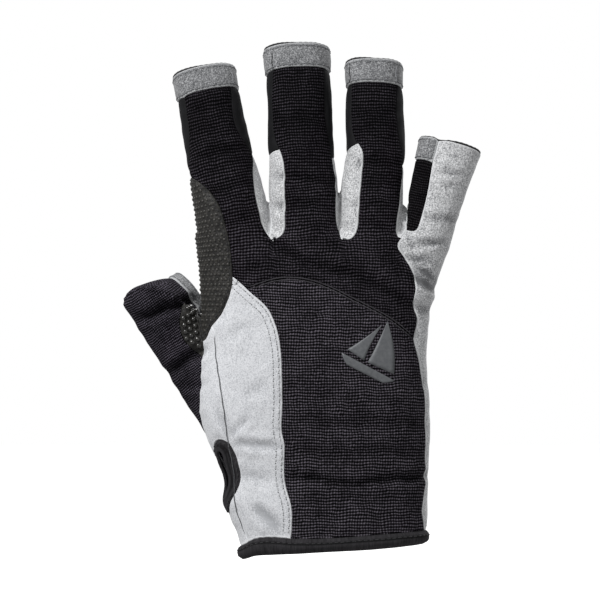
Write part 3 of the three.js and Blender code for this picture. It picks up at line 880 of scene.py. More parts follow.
def tidy_labels(triangles, labels, smallest=10):
    """Gives small islands of a label to the neighbour that they touch most."""
    across = neighbours(triangles)
    for _ in range(3):
        seen = np.zeros(len(triangles), bool)
        for start in range(len(triangles)):
            if seen[start]:
                continue
            group, stack = [], [start]
            seen[start] = True
            while stack:
                k = stack.pop()
                group.append(k)
                for other in across[k]:
                    if other >= 0 and not seen[other] and labels[other] == labels[k]:
                        seen[other] = True
                        stack.append(int(other))
            if len(group) < smallest:
                around = [labels[o] for k in group for o in across[k] if o >= 0 and labels[o] != labels[k]]
                if around:
                    values, counts = np.unique(around, return_counts=True)
                    labels[group] = values[counts.argmax()]
    return labels


# ---- The cloth's relief ----
def noise(p, scale, seed):
    """Smooth noise from -1 to 1, as a sum of tilted waves."""
    rng = np.random.RandomState(seed)
    total = np.zeros(len(p))
    for _ in range(7):
        way = unit(rng.normal(size=3)) * rng.uniform(0.7, 1.5) / scale
        total += np.sin(2 * math.pi * (p @ way) + rng.uniform(0, 2 * math.pi))
    return total / 4


# Folds on the back of the glove, each as its two ends (x, z), its width and its depth.
FOLDS = (
    ((-16, 32), (12, 29.3), 1.5, 1.4), ((8, 29.2), (40, 32.4), 1.5, 1.4), ((-18, 41.5), (38, 41), 2.2, 0.6),
    ((-16, 54), (38, 53), 2.4, 0.6), ((-14, 22), (36, 23), 2.2, 0.35), ((-14, 16), (37, 16.5), 2.0, 0.25),
    ((-18, 66), (10, 64), 2.6, 0.3), ((6, 62), (38, 60), 2.4, 0.3), ((-27, 128), (-9, 116.5), 2.0, 1.0),
    ((-13, 117.6), (13, 111.5), 2.0, 1.1), ((10, 112.5), (33, 100), 2.0, 1.1),
    ((-36, 112), (-24, 118), 2.2, 0.5), ((20, 122), (30, 112), 2.0, 0.5), ((-4, 125), (12, 121), 2.0, 0.4),
    ((-39, 45), (-19, 44.4), 1.5, 0.9), ((-31, 21), (-19.5, 10.5), 2.0, 1.1),
    ((-41, 47), (-31, 56), 1.3, 0.6), ((-39, 47), (-46, 60), 1.8, 0.5), ((-35, 64), (-24, 70), 2.4, 0.3),
    ((-38, 33), (-24, 31), 2.2, 0.4), ((-43, 88), (-30, 92), 2.4, 0.3), ((-77, 95), (-54, 102.5), 1.8, 2.4),
    ((-65, 72.5), (-50, 84), 1.9, 2.0), ((-60, 66), (-50, 70), 1.6, 0.8), ((-70, 84), (-62, 88), 1.8, 0.7),
    ((30, 120), (41, 117.5), 1.3, 0.9), ((31, 113), (44, 105.5), 1.6, 1.2),
    ((34, 125.5), (46, 125), 1.2, 0.8), ((38, 136), (52, 133), 1.6, 0.5),
    ((34.5, 116.2), (42, 110.2), 1.3, 1.5), ((35.5, 125.4), (43.5, 125), 1.2, 0.9),
    ((31, 129), (34, 122), 1.1, 0.7), ((43, 153.8), (54.5, 152.4), 1.2, 0.6),
    ((44, 147), (52, 147.6), 1.2, 0.4), ((34, 100), (41, 97), 1.6, 0.7), ((37, 70), (40.5, 68), 1.6, 0.6),
    ((-49, 100), (-41, 96), 2.0, 0.5), ((-55, 160), (-33, 163), 1.8, 0.7), ((-22, 153), (2, 148), 1.7, 0.7),
    ((-23, 141), (1, 139), 1.8, 0.6), ((9, 158), (29, 156), 1.7, 0.6), ((9, 141), (27, 140), 1.8, 0.4),
    ((-52, 145), (-31, 149), 2, 0.5), ((-44, 131), (-28, 135), 2, 0.4), ((-60, 178), (-38, 182), 2, 0.3),
    ((-24, 176), (0, 174), 2, 0.3), ((8, 177), (29, 178), 2, 0.3),
)
CUFF_ROLL = 1.9  # how far the cuff's rim turns in
LIFT = {
    "thumb_panel": 0.30, "thumb_gusset": 0.25, "cuff_binding": 0.7, "vent_tape": 0.3, "band_index": 0.45,
    "band_middle": 0.45, "band_ring": 0.45, "band_little": 0.3, "band_thumb": 0.45, "palm_grip": 0.35,
    "side_grip": 0.2, "gusset_index": -0.15, "gusset_middle": -0.15, "gusset_ring": -0.15,
}


def relief(p, normal):
    """How far the cloth stands out before its seams pull it in, and how deep it is in a fold, which the materials
    paint as shade.
    """
    out = 0.28 * noise(p, 17, 1) + 0.14 * noise(p, 7, 2)
    crease = np.zeros(len(p))
    facing = smoothstep(-normal[:, 1], -0.35, 0.25)
    flat = p[:, [0, 2]]
    wobble = 0.35 * np.sin(flat[:, 0] * 0.23) + 0.2 * np.sin(flat[:, 0] * 0.61 + 1)
    for (x0, z0), (x1, z1), width, depth in FOLDS:
        start, way = np.array([x0, z0], float), np.array([x1 - x0, z1 - z0], float)
        length = np.linalg.norm(way)
        way /= length
        t = (flat - start) @ way
        off = (flat - start) @ np.array([-way[1], way[0]]) + wobble
        ends = smoothstep(t, -3, 6) * smoothstep(length - t, -3, 6)
        k = np.abs(off) / width
        out += depth * ends * facing * (0.4 * np.exp(-(((k - 2) / 0.9) ** 2)) - np.exp(-(k**2)))
        crease = np.maximum(crease, depth * ends * facing * np.exp(-(k**2)))
    # The welt along the arched seam.
    welt = facing * (np.abs(p[:, 0]) < 34) * (p[:, 2] > 84)
    out += welt * 0.5 * np.exp(-(((p[:, 2] - arch(p[:, 0]) - 2.6) / 1.2) ** 2))
    # Creases inside the bends of the fingers.
    palm = smoothstep(normal[:, 1], 0.1, 0.6)
    for finger in FINGERS.values():
        s = (p - finger.root) @ finger.along
        beside = np.abs((p - finger.root) @ finger.across) < finger.widths(s) + 2
        for at, depth in ((finger.knuckle, 0.9), (ROOT_JOINT, 0.7), (finger.knuckle + 20, 0.4)):
            off = s - at + 0.8 * np.sin(p[:, 0] * 0.5)
            out -= palm * beside * (s > -8) * depth * np.exp(-((off / 1.6) ** 2))
    # Palm creases at the heel and across the grip.
    for z, depth in ((44, 0.7), (96, 0.6), (58, 0.4)):
        out -= palm * depth * np.exp(-(((p[:, 2] - z - 0.12 * p[:, 0]) / 2.4) ** 2)) * (p[:, 2] < 120)
    return out, np.clip(crease / 1.5, 0, 1)


def smooth_seams(points, triangles, labels, rounds=6):
    """Takes the wobble out of the seams, and evens the triangles beside them."""
    across = neighbours(triangles)
    panel = labels // BODIES
    seam_edges = []
    for i in range(3):
        rows = np.flatnonzero((across[:, i] >= 0) & (panel[np.maximum(across[:, i], 0)] != panel))
        seam_edges.append(np.sort(triangles[rows][:, [i, (i + 1) % 3]], 1))
    seam_edges = np.unique(np.concatenate(seam_edges), axis=0)
    degree = np.bincount(seam_edges.ravel(), minlength=len(points))
    e = edges_of(triangles)
    near = np.zeros(len(points), bool)
    near[seam_edges.ravel()] = True
    for _ in range(2):
        touched = near[e].any(1)
        near[e[touched].ravel()] = True
    inner = np.flatnonzero(near & (degree == 0))
    along = np.flatnonzero(degree == 2)
    moving = np.concatenate([inner, along])
    for _ in range(rounds):
        target = points.copy()
        for group, group_edges in ((inner, e), (along, seam_edges)):
            total, count = across_edges(points, group_edges)
            target[group] += 0.5 * (total[group] / count[group, None] - points[group])
        points[moving] = project(target[moving], 1)
    return points


print("scene: form")
points, quads = surface_nets()
points = relax(project(points, 3), quads, 4)
points, triangles, labels = cut(points, to_triangles(points, quads))
labels = tidy_labels(triangles, labels)
points = smooth_seams(points, triangles, labels)
shown = labels // BODIES != PANEL["none"]
triangles, labels = triangles[shown], labels[shown]
used, triangles = np.unique(triangles, return_inverse=True)
triangles = triangles.reshape(-1, 3)
rest = points[used]
normals = unit(gradient(rest))
panel_of = labels // BODIES
zone_of = labels % BODIES

# Seam lines: edges between two panels, or at an opening.
across = neighbours(triangles)
n_triangles = len(triangles)
border = np.zeros((n_triangles, 3), bool)
for i in range(3):
    other = across[:, i]
    border[:, i] = (other < 0) | (panel_of[np.maximum(other, 0)] != panel_of)
is_open = across < 0


def distance_to(edges):
    """Each vertex's distance from the nearest end of the marked triangle edges."""
    ends = np.unique(np.concatenate([triangles[edges[:, i]][:, [i, (i + 1) % 3]].ravel() for i in range(3)]))
    tree = KDTree(len(ends))
    for i, k in enumerate(ends):
        tree.insert(rest[k], i)
    tree.balance()
    return np.array([tree.find(p)[2] for p in rest])


PULL, PULL_REACH = 0.5, 1.6  # how deep a seam pulls the cloth in, and how far to its sides
seam_distance = distance_to(border)
sewn_distance = distance_to(border & ~is_open)

lift = np.zeros(len(rest))
for name, amount in LIFT.items():
    mine = np.unique(triangles[panel_of == PANEL[name]])
    from_sewn = sewn_distance[mine]
    lift[mine] += amount * np.where(from_sewn > 0.01, 0.5 + 0.5 * smoothstep(from_sewn, 0, 1.2), 0.25)
# The second value is how deep each place lies in a fold; the materials paint it as shade.
folded, crease = relief(rest, normals)
height = folded + lift - PULL * np.exp(-sewn_distance / PULL_REACH)
# The cuff's tape is rolled: it bulges, and its rim turns in.
tape_top = cuff_edge(rest[:, 0]) + binding_height(rest[:, 0])
on_cuff = np.zeros(len(rest), bool)
on_cuff[np.unique(triangles[panel_of == PANEL["cuff_binding"]])] = True
up_cuff = np.clip(1 - (tape_top - rest[:, 2]) / binding_height(rest[:, 0]), 0, 1)
roll = 0.5 * np.sin(math.pi * up_cuff) - CUFF_ROLL * np.clip(1 - up_cuff / 0.4, 0, 1) ** 2.2
height[on_cuff] += roll[on_cuff]
cloth = rest + normals * height[:, None]


def vertex_normals(p, t):
    face = np.cross(p[t[:, 1]] - p[t[:, 0]], p[t[:, 2]] - p[t[:, 0]])
    total = np.zeros_like(p)
    for i in range(3):
        np.add.at(total, t[:, i], face)
    return unit(total)


cloth_normals = vertex_normals(cloth, triangles)
print("scene: cloth", len(cloth), len(triangles))

# ---- Cloth coordinates, in millimetres across and along the knit ----


def arc_table(half_width, half_depth):
    """Length round a section from the middle of the back, for an angle in degrees."""
    angles = np.linspace(-180, 180, 721)
    s, c = np.sin(np.radians(angles)), np.cos(np.radians(angles))
    scale = rounding(s, c)
    line = np.stack([half_width * s * scale, half_depth * c * scale], 1)
    length = np.concatenate([[0], np.cumsum(np.linalg.norm(np.diff(line, axis=0), axis=1))])
    return lambda a: np.interp(a, angles, length - length[360])


# The two tables are for usual half widths, and are stretched to the width at each place.
HAND_HALF, FINGER_HALF = 45.0, 13.0
hand_arc = arc_table(HAND_HALF, 16.5)
finger_arc = arc_table(FINGER_HALF, 11.4)


def cloth_coordinates(p):
    left, right = hand_left(p[:, 2]), hand_right(p[:, 2])
    u = (left + right) / 2 + hand_arc(hand_angle(p)) * (right - left) / (2 * HAND_HALF)
    v = p[:, 2].copy()
    nearest = finger_distances(p).argmin(0)
    for number, finger in enumerate(FINGERS.values()):
        s, a, b = finger.coordinates(p)
        t = smoothstep(s, -20, 15) * (nearest == number) * (p[:, 2] > 100)
        width = finger.widths(s)
        own = finger.root[0] + finger_arc(section_angle(a, b, width, finger.depth)) * width / FINGER_HALF
        u = u + t * (own - u)
        v = v + t * (finger.root[2] + s - v)
    return np.stack([u, v], 1)


def thumb_cloth(p, normal):
    """The same for the thumb's corners: round its base tube, then flat on the way each triangle faces."""
    over, (s, a, w), _, _ = thumb_coordinates(p)
    round_it = finger_arc(section_angle(a, w * np.sign(thumb_deep[1]), THUMB_HALF, THUMB_DEPTH))
    facing = np.abs(np.stack([normal @ thumb_deep, normal @ thumb_across, normal @ thumb_way], 1))
    facing[:, 2] *= over.reshape(-1, 3).max(1) > 0
    side = np.repeat(facing.argmax(1), 3)
    flat_u = np.select([side == 0, side == 1, side == 2], [a, w, a])
    t = smoothstep(over, -5, 1)
    return np.stack([round_it + t * (flat_u - round_it), np.where(side == 2, w, s)], 1)


corner_uv = cloth_coordinates(rest)[triangles]
on_thumb = np.isin(panel_of, [PANEL[n] for n in ("thumb_knit", "thumb_grip", "band_thumb")])
thumb_corners = rest[triangles[on_thumb]]
a, b, c = thumb_corners.transpose(1, 0, 2)
thumb_uv = thumb_cloth(thumb_corners.reshape(-1, 3), unit(np.cross(b - a, c - a)))
corner_uv[on_thumb] = thumb_uv.reshape(-1, 3, 2)

# ---- Materials ----


class Nodes:
    """Short names for the shader nodes that the cloths are made of."""

    def __init__(self, name):
        self.material, self.tree, self.shader = node_material(name)

    def new(self, kind, **inputs):
        node = self.tree.nodes.new("ShaderNode" + kind)
        for key, value in inputs.items():
            self.set(node.inputs[key.replace("_", " ")], value)
        return node

    def set(self, socket, value):
        if isinstance(value, bpy.types.NodeSocket):
            self.tree.links.new(value, socket)
        else:
            socket.default_value = value

    def math(self, operation, a, b=0.0, c=0.0):
        node = self.tree.nodes.new("ShaderNodeMath")
        node.operation = operation
        for socket, value in zip(node.inputs, (a, b, c)):
            self.set(socket, value)
        return node.outputs[0]

    def total(self, *terms, plus=0.0):
        """The sum of (value, weight) terms."""
        for value, weight in reversed(terms):
            plus = self.math("MULTIPLY_ADD", value, weight, plus)
        return plus

    def product(self, value, *others):
        for other in others:
            value = self.math("MULTIPLY", value, other)
        return value

    def ramp(self, value, *stops):
        node = self.tree.nodes.new("ShaderNodeValToRGB")
        elements = node.color_ramp.elements
        while len(elements) < len(stops):
            elements.new(0.5)
        for element, (place, colour) in zip(elements, stops):
            element.position = place
            element.color = (*colour, 1)
        self.set(node.inputs[0], value)
        return node.outputs[0]

    def mix(self, factor, a, b):
        node = self.tree.nodes.new("ShaderNodeMix")
        node.data_type = "RGBA"
        self.set(node.inputs[0], factor)
        self.set(node.inputs[6], a if isinstance(a, bpy.types.NodeSocket) else (*a, 1))
        self.set(node.inputs[7], b if isinstance(b, bpy.types.NodeSocket) else (*b, 1))
        return node.outputs[2]

    def place(self):
        return self.attribute("rest", "Vector")

    def attribute(self, name, output="Fac"):
        node = self.tree.nodes.new("ShaderNodeAttribute")
        node.attribute_name = name
        return node.outputs[output]

    def noise(self, scale, detail=2.0, roughness=0.6, vector=None):
        node = self.new("TexNoise", Scale=scale, Detail=detail, Roughness=roughness)
        self.set(node.inputs["Vector"], vector if vector is not None else self.place())
        return node.outputs["Fac"]

    def bump(self, height, strength, distance):
        """Gives the shader a bump, with distance in millimetres."""
        node = self.new("Bump", Strength=strength, Distance=distance * MM, Height=height)
        self.set(self.shader.inputs["Normal"], node.outputs[0])

    def finish(self, colour, roughness, sheen=0.0, tint=(1, 1, 1), specular=0.3):
        self.set(self.shader.inputs["Base Color"], colour)
        self.set(self.shader.inputs["Roughness"], roughness)
        self.shader.inputs["Specular IOR Level"].default_value = specular
        self.shader.inputs["Sheen Weight"].default_value = sheen
        self.shader.inputs["Sheen Roughness"].default_value = 0.5
        self.shader.inputs["Sheen Tint"].default_value = (*tint, 1)
        return self.material


ROW, COLUMN = 1.19, 1.1  # the knit's rows and columns


def knit_material(name, dark, light, fineness=1.0):
    """Waffle knit. fineness is how many rows it has where the back of the hand has one."""
    n = Nodes(name)
    uv_map = n.tree.nodes.new("ShaderNodeUVMap")
    uv_map.uv_map = "cloth"
    split = n.new("SeparateXYZ", Vector=uv_map.outputs[0])
    u, v = split.outputs[0], split.outputs[1]
    warp = n.math("SUBTRACT", n.noise(0.09, 2), 0.5)
    small = n.math("SUBTRACT", n.noise(0.8, 1), 0.5)
    u = n.total((warp, 3.0), (small, 0.45), plus=u)
    v = n.total((warp, 2.4), (small, 0.4), plus=v)

    def wave(value, pitch):
        """From 0 to 1 and back over each pitch."""
        turn = n.product(value, fineness / pitch, 2 * math.pi)
        return n.total((n.math("COSINE", turn), -0.5), plus=0.5)

    row, column = wave(v, ROW), wave(u, COLUMN)
    threads = n.product(row, n.total((column, 0.4), plus=0.6))
    between = n.product(n.math("SUBTRACT", 1.0, row), n.product(column, 0.36))
    relief_height = n.math("ADD", threads, between)
    lit = n.math("POWER", relief_height, 1.5)
    uneven = n.total((n.noise(0.13, 3), 0.9), plus=0.5)
    worn = n.total((n.noise(1.3, 1), 1.4), plus=0.35)
    height_up = n.new("SeparateXYZ", Vector=n.place()).outputs[2]
    dense = n.new("MapRange", Value=height_up, From_Min=125.0, From_Max=172.0, To_Min=1.0, To_Max=0.66)
    # Painted shade: the knit darkens where it lies deep in a fold's crease.
    density_and_crease_shade = n.total((n.attribute("crease"), -0.45), plus=dense.outputs[0])
    bright = n.product(lit, uneven, worn, density_and_crease_shade)
    colour = n.ramp(bright, (0.16, dark), (0.5, [(a + b) / 3.6 for a, b in zip(dark, light)]), (1.0, light))
    n.bump(relief_height, 0.9, 0.35)
    return n.finish(colour, 0.9, specular=0.05)


def suede_material(name, dark, middle_tone, light, edge, fuzz):
    n = Nodes(name)
    fine = n.noise(1.9, 3, 0.75)
    broad = n.noise(0.22, 3, 0.6)
    streak = n.new("Mapping", Vector=n.place(), Scale=(1.3, 1.3, 0.55)).outputs[0]
    nap = n.noise(1.1, 2, 0.7, streak)
    # Painted shade: the suede darkens where it lies deep in a fold's crease.
    value = n.total((n.attribute("crease"), -0.34), (fine, 0.9), (nap, 0.2), (broad, 0.12))
    colour = n.ramp(value, (0.46, dark), (0.61, middle_tone), (0.76, light))
    near = n.math("MAXIMUM", n.math("SUBTRACT", 1.0, n.product(n.attribute("seam"), 1.25)), 0.0)
    colour = n.mix(n.product(near, 0.75), colour, edge)
    n.bump(n.total((nap, 0.5), plus=fine), 0.55, fuzz)
    return n.finish(colour, 0.92, 0.25, specular=0.15)


def grip_material(name, dark, light, rough):
    n = Nodes(name)
    cell = n.new("TexVoronoi", Scale=0.75, Randomness=0.85)
    n.set(cell.inputs["Vector"], n.place())
    fine = n.noise(1.5, 3, 0.7)
    distance = cell.outputs["Distance"]
    value = n.total((fine, 0.7), (n.math("SUBTRACT", 0.75, distance), 0.55))
    colour = n.ramp(value, (0.35, dark), (0.62, [(a + b) / 2.6 for a, b in zip(dark, light)]), (0.85, light))
    n.bump(n.total((fine, 0.6), plus=n.math("SUBTRACT", 1.0, distance)), 0.7, 0.35)
    return n.finish(colour, n.total((value, -0.35), plus=rough), 0.05, (0.9, 0.9, 0.8), 0.4)


GROOVE, GROOVE_WIDTH = 2.3, 0.55  # the sewn groove of a folded tape, darkened with painted shade: how far from its edge, how wide


def binding_material(name):
    """Folded lycra tape: fine ribs along z, a sewn groove darkened with painted shade, and a soft sheen."""
    n = Nodes(name)
    stretched = n.new("Mapping", Vector=n.place(), Scale=(1.0, 1.0, 0.12)).outputs[0]
    ribs = n.noise(1.6, 2, 0.6, stretched)
    fine = n.noise(2.6, 2)
    value = n.total((ribs, 0.7), (fine, 0.3))
    colour = n.ramp(value, (0.3, (0.01, 0.0095, 0.0105)), (0.75, (0.044, 0.042, 0.046)))
    off = n.total((n.attribute("seam"), 1 / GROOVE_WIDTH), plus=-GROOVE / GROOVE_WIDTH)
    groove = n.math("EXPONENT", n.product(off, off, -1.0))
    # Painted shade: the groove's colour goes nearly black, as well as being sunk by the bump.
    colour = n.mix(n.product(groove, 0.85), colour, (0.001, 0.001, 0.0012))
    n.bump(n.total((groove, -2.5), (fine, 0.3), plus=ribs), 0.5, 0.25)
    return n.finish(colour, 0.85, 0.03, (0.9, 0.88, 0.95), 0.15)


def lycra_material(name):
    n = Nodes(name)
    fine = n.noise(2.2, 2)
    value = n.total((fine, 0.5), (n.noise(0.3, 2), 0.5))
    colour = n.ramp(value, (0.3, (0.003, 0.003, 0.0034)), (0.75, (0.011, 0.011, 0.0125)))
    n.bump(fine, 0.25, 0.12)
    return n.finish(colour, 0.75, 0.02, (0.9, 0.9, 1), 0.15)


def thread_material(name, dark, light):
    n = Nodes(name)
    colour = n.ramp(n.noise(3.0, 1), (0.3, dark), (0.7, light))
    n.bump(n.noise(6.0, 1), 0.4, 0.08)
    return n.finish(colour, 0.7, 0.1)


def rubber_material(name, dark, light, rough, coat=0.0):
    n = Nodes(name)
    colour = n.ramp(n.noise(0.8, 2), (0.3, dark), (0.7, light))
    n.bump(n.noise(2.5, 2), 0.2, 0.08)
    n.shader.inputs["Coat Weight"].default_value = coat
    n.shader.inputs["Coat Roughness"].default_value = 0.15
    return n.finish(colour, rough, specular=0.5)


# Each material's kind, its tones from dark to light, and what else its function takes.
TONES = {
    "knit": (knit_material, (0.0005, 0.0004, 0.0007), (0.078, 0.069, 0.084)),
    "knit_back": (knit_material, (0.001, 0.0009, 0.0013), (0.13, 0.117, 0.14)),
    "knit_dark": (knit_material, (0.0006, 0.0005, 0.0007), (0.03, 0.027, 0.031), 1.2),
    "knit_thumb": (knit_material, (0.001, 0.0009, 0.0015), (0.115, 0.103, 0.13), 1.3),
    "welt": (thread_material, (0.018, 0.0165, 0.02), (0.05, 0.046, 0.054)),
    "suede": (
        suede_material,
        (0.15, 0.153, 0.16), (0.48, 0.485, 0.495), (0.84, 0.845, 0.855), (0.66, 0.67, 0.68), 0.35,
    ),
    "band_suede": (
        suede_material,
        (0.05, 0.052, 0.056), (0.165, 0.168, 0.174), (0.44, 0.445, 0.455), (0.52, 0.53, 0.54), 0.35,
    ),
    "pale_suede": (
        suede_material,
        (0.4, 0.41, 0.43), (0.62, 0.63, 0.655), (0.74, 0.75, 0.77), (0.72, 0.73, 0.75), 0.25,
    ),
    "grip": (grip_material, (0.004, 0.0038, 0.0034), (0.052, 0.048, 0.042), 0.78),
    "binding": (binding_material,),
    "lycra": (lycra_material,),
    "pale_thread": (thread_material, (0.34, 0.345, 0.36), (0.6, 0.61, 0.62)),
    "dark_thread": (thread_material, (0.008, 0.008, 0.009), (0.03, 0.03, 0.032)),
    "grey_thread": (thread_material, (0.07, 0.072, 0.078), (0.17, 0.17, 0.18)),
    "silicone": (rubber_material, (0.008, 0.0078, 0.007), (0.022, 0.021, 0.018), 0.32, 0.5),
    "print": (rubber_material, (0.085, 0.09, 0.097), (0.12, 0.125, 0.132), 0.55),
    "band_thread": (thread_material, (0.1, 0.103, 0.11), (0.24, 0.245, 0.255)),
    # hole: dark tones that paint the shade in the needle holes; the thumb's seam thread takes them too.
    "hole": (thread_material, (0.05, 0.052, 0.056), (0.12, 0.123, 0.13)),
    "grip_dot": (rubber_material, (0.02, 0.019, 0.017), (0.05, 0.047, 0.041), 0.42),
    "edge_thread": (thread_material, (0.006, 0.006, 0.0065), (0.02, 0.02, 0.022)),
    "elastic": (lycra_material,),
    "label": (thread_material, (0.68, 0.68, 0.66), (0.82, 0.82, 0.8)),
}
MATERIALS = {name: make(name, *tones) for name, (make, *tones) in TONES.items()}
# Materials whose CAD slot has another name.
SLOTS = {
    "knit_back": "knit", "knit_dark": "knit", "knit_thumb": "knit", "welt": "knit",
    "band_suede": "suede", "grey_thread": "suede", "band_thread": "suede", "hole": "suede",
    "pale_thread": "pale_suede", "dark_thread": "lycra", "edge_thread": "binding",
    "silicone": "grip", "grip_dot": "grip",
}

# ---- Pieces ----
THICKNESS = 1.0  # of the cloth
BEVEL = 0.34  # how far a rolled edge's top is from its seam
BEVEL_DROP = 0.5  # how far below the top a rolled edge reaches its seam
SEAM_OVERLAP = 0.06  # under a seam each panel reaches this far past it
ROOT_BLEND = 6.0  # to each side of a finger's first joint
MIDDLE_BLEND = {"index": 9.0, "middle": 9.0, "ring": 9.0, "little": 7.5}  # and of its second
THUMB_BLEND = (1, 10)  # where the cloth past the thumb's knuckle starts to follow its end, and does fully


def blend_across(piece, zone):
    """Makes a piece follow the glove's bodies, by its zone."""
    if zone == "hand":
        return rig.ride(piece, "hand")
    name, part = zone.split("_")
    if name == "thumb":
        if part == "base":
            start, end = (THUMB_SIDE * k / (THUMB_SIDE @ THUMB_SIDE) * MM for k in (THUMB_START, THUMB_FULL))
            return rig.blend(piece, "hand", "thumb_base", start=start, end=end)
        start, end = ((THUMB_KNUCKLE + mitre * k) * MM for k in THUMB_BLEND)
        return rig.blend(piece, "thumb_base", "thumb_end", start=start, end=end)
    finger = FINGERS[name]
    if part == "base":
        start, end = (finger.root + finger.along * (ROOT_JOINT + k) for k in (-ROOT_BLEND, ROOT_BLEND))
        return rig.blend(piece, "hand", f"{name}_base", start=start * MM, end=end * MM)
    centre = finger.axis_point(finger.knuckle)
    way = unit(finger.axis_point(finger.knuckle + 1) - centre) * MIDDLE_BLEND[name]
    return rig.blend(piece, f"{name}_base", f"{name}_end", start=(centre - way) * MM, end=(centre + way) * MM)


def make_mesh(name, vertices, faces, material, normals_of=None, at_rest=None, values_of=(), cloth_uv=None):
    """A piece from millimetres. normals_of has a normal for each corner of each face, or zeros for none."""
    mesh = bpy.data.meshes.new(name)
    mesh.from_pydata((np.asarray(vertices) * MM).tolist(), [], [list(map(int, f)) for f in faces])
    mesh.polygons.foreach_set("use_smooth", [True] * len(mesh.polygons))
    places = np.asarray(vertices if at_rest is None else at_rest, np.float32)
    mesh.attributes.new("rest", "FLOAT_VECTOR", "POINT").data.foreach_set("vector", places.ravel())
    # The second attribute carries the painted shade of the folds' creases.
    for attribute, values in zip(("seam", "crease"), values_of):
        layer = mesh.attributes.new(attribute, "FLOAT", "POINT")
        layer.data.foreach_set("value", np.asarray(values, np.float32))
    if cloth_uv is not None:
        layer = mesh.uv_layers.new(name="cloth")
        layer.data.foreach_set("uv", np.asarray(cloth_uv, np.float32).ravel())
    mesh.materials.append(MATERIALS[material])
    if normals_of is not None:
        mesh.normals_split_custom_set(np.asarray(normals_of).tolist())
    piece = bpy.data.objects.new(name, mesh)
    scene.collection.objects.link(piece)
    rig.slot(piece, SLOTS.get(material, material))
    return piece


CLOTHS = {
    "cuff_binding": "binding", "vent_tape": "binding", "thumb_panel": "pale_suede",
    "thumb_gusset": "pale_suede", "back_panel": "knit_back", "knuckle_panel": "knit", "side_grip": "grip",
    "palm_grip": "grip", "thumb_grip": "grip", "thumb_knit": "knit_thumb", "knit_little": "knit_dark",
}
for panel_name in PANELS:
    if panel_name.startswith("strip"):
        CLOTHS[panel_name] = "lycra"
    if panel_name.startswith("band"):
        CLOTHS[panel_name] = "band_suede"
    CLOTHS.setdefault(panel_name, "suede")

NODES = {
    ("cuff_binding", "hand"): ["cuff_binding"],
    ("vent_tape", "hand"): ["vent_binding"],
    ("thumb_panel", "hand"): ["thumb_side_panel"],
    ("thumb_gusset", "hand"): ["thumb_root_gusset"],
    ("back_panel", "hand"): ["back_panel"],
    ("knuckle_panel", "hand"): ["knuckle_panel"],
    ("side_grip", "hand"): ["index_side_grip_root"],
    ("side_grip", "index_base"): ["index_side_grip"],
    ("palm", "hand"): ["palm_panel", "palm_index_root"],
    ("heel", "hand"): ["palm_heel"],
    ("palm_grip", "hand"): ["palm_grip"],
    ("gusset_index", "index_base"): ["index_gusset_little_side", "web_index_middle"],
    ("gusset_middle", "middle_base"): [
        "middle_gusset_little_side", "middle_gusset_thumb_side", "web_middle_ring",
    ],
    ("gusset_ring", "ring_base"): ["ring_gusset_little_side", "ring_gusset_thumb_side", "web_ring_little"],
    ("gusset_little", "little_base"): ["little_gusset_ring_side"],
    ("strip_little", "little_end"): ["little_strip_ring_side"],
    ("thumb_knit", "thumb_base"): ["thumb_back_base"],
    ("thumb_knit", "thumb_end"): ["thumb_back_end"],
    ("thumb_grip", "thumb_base"): ["thumb_palm_base"],
    ("thumb_grip", "thumb_end"): ["thumb_palm_end"],
    ("band_thumb", "thumb_end"): ["thumb_tip_band"],
}
for finger_name in NAMES:
    back_panel_name = "knit_little" if finger_name == "little" else "knuckle_panel"
    for part in ("base", "end"):
        NODES[back_panel_name, f"{finger_name}_{part}"] = [f"{finger_name}_back_{part}"]
        NODES["palm", f"{finger_name}_{part}"] = [f"{finger_name}_palm_{part}"]
    NODES[f"band_{finger_name}", f"{finger_name}_end"] = [f"{finger_name}_tip_band"]
    if finger_name != "little":
        for side, node_side in (("left", "thumb_side"), ("right", "little_side")):
            NODES[f"strip_{finger_name}_{side}", f"{finger_name}_end"] = [f"{finger_name}_strip_{node_side}"]


def ways_inward(mine):
    """For each vertex on a panel's border, the way into the panel along its cloth."""
    inward = {}
    for i in range(3):
        rows = np.flatnonzero(mine & border[:, i])
        a, b = triangles[rows][:, i], triangles[rows][:, (i + 1) % 3]
        way = unit(np.cross(unit(cloth_normals[a] + cloth_normals[b]), cloth[b] - cloth[a]))
        for p, q, w in zip(a.tolist(), b.tolist(), way):
            for k in (p, q):
                inward[k] = inward.get(k, 0) + w
    return {k: unit(v) for k, v in inward.items()}


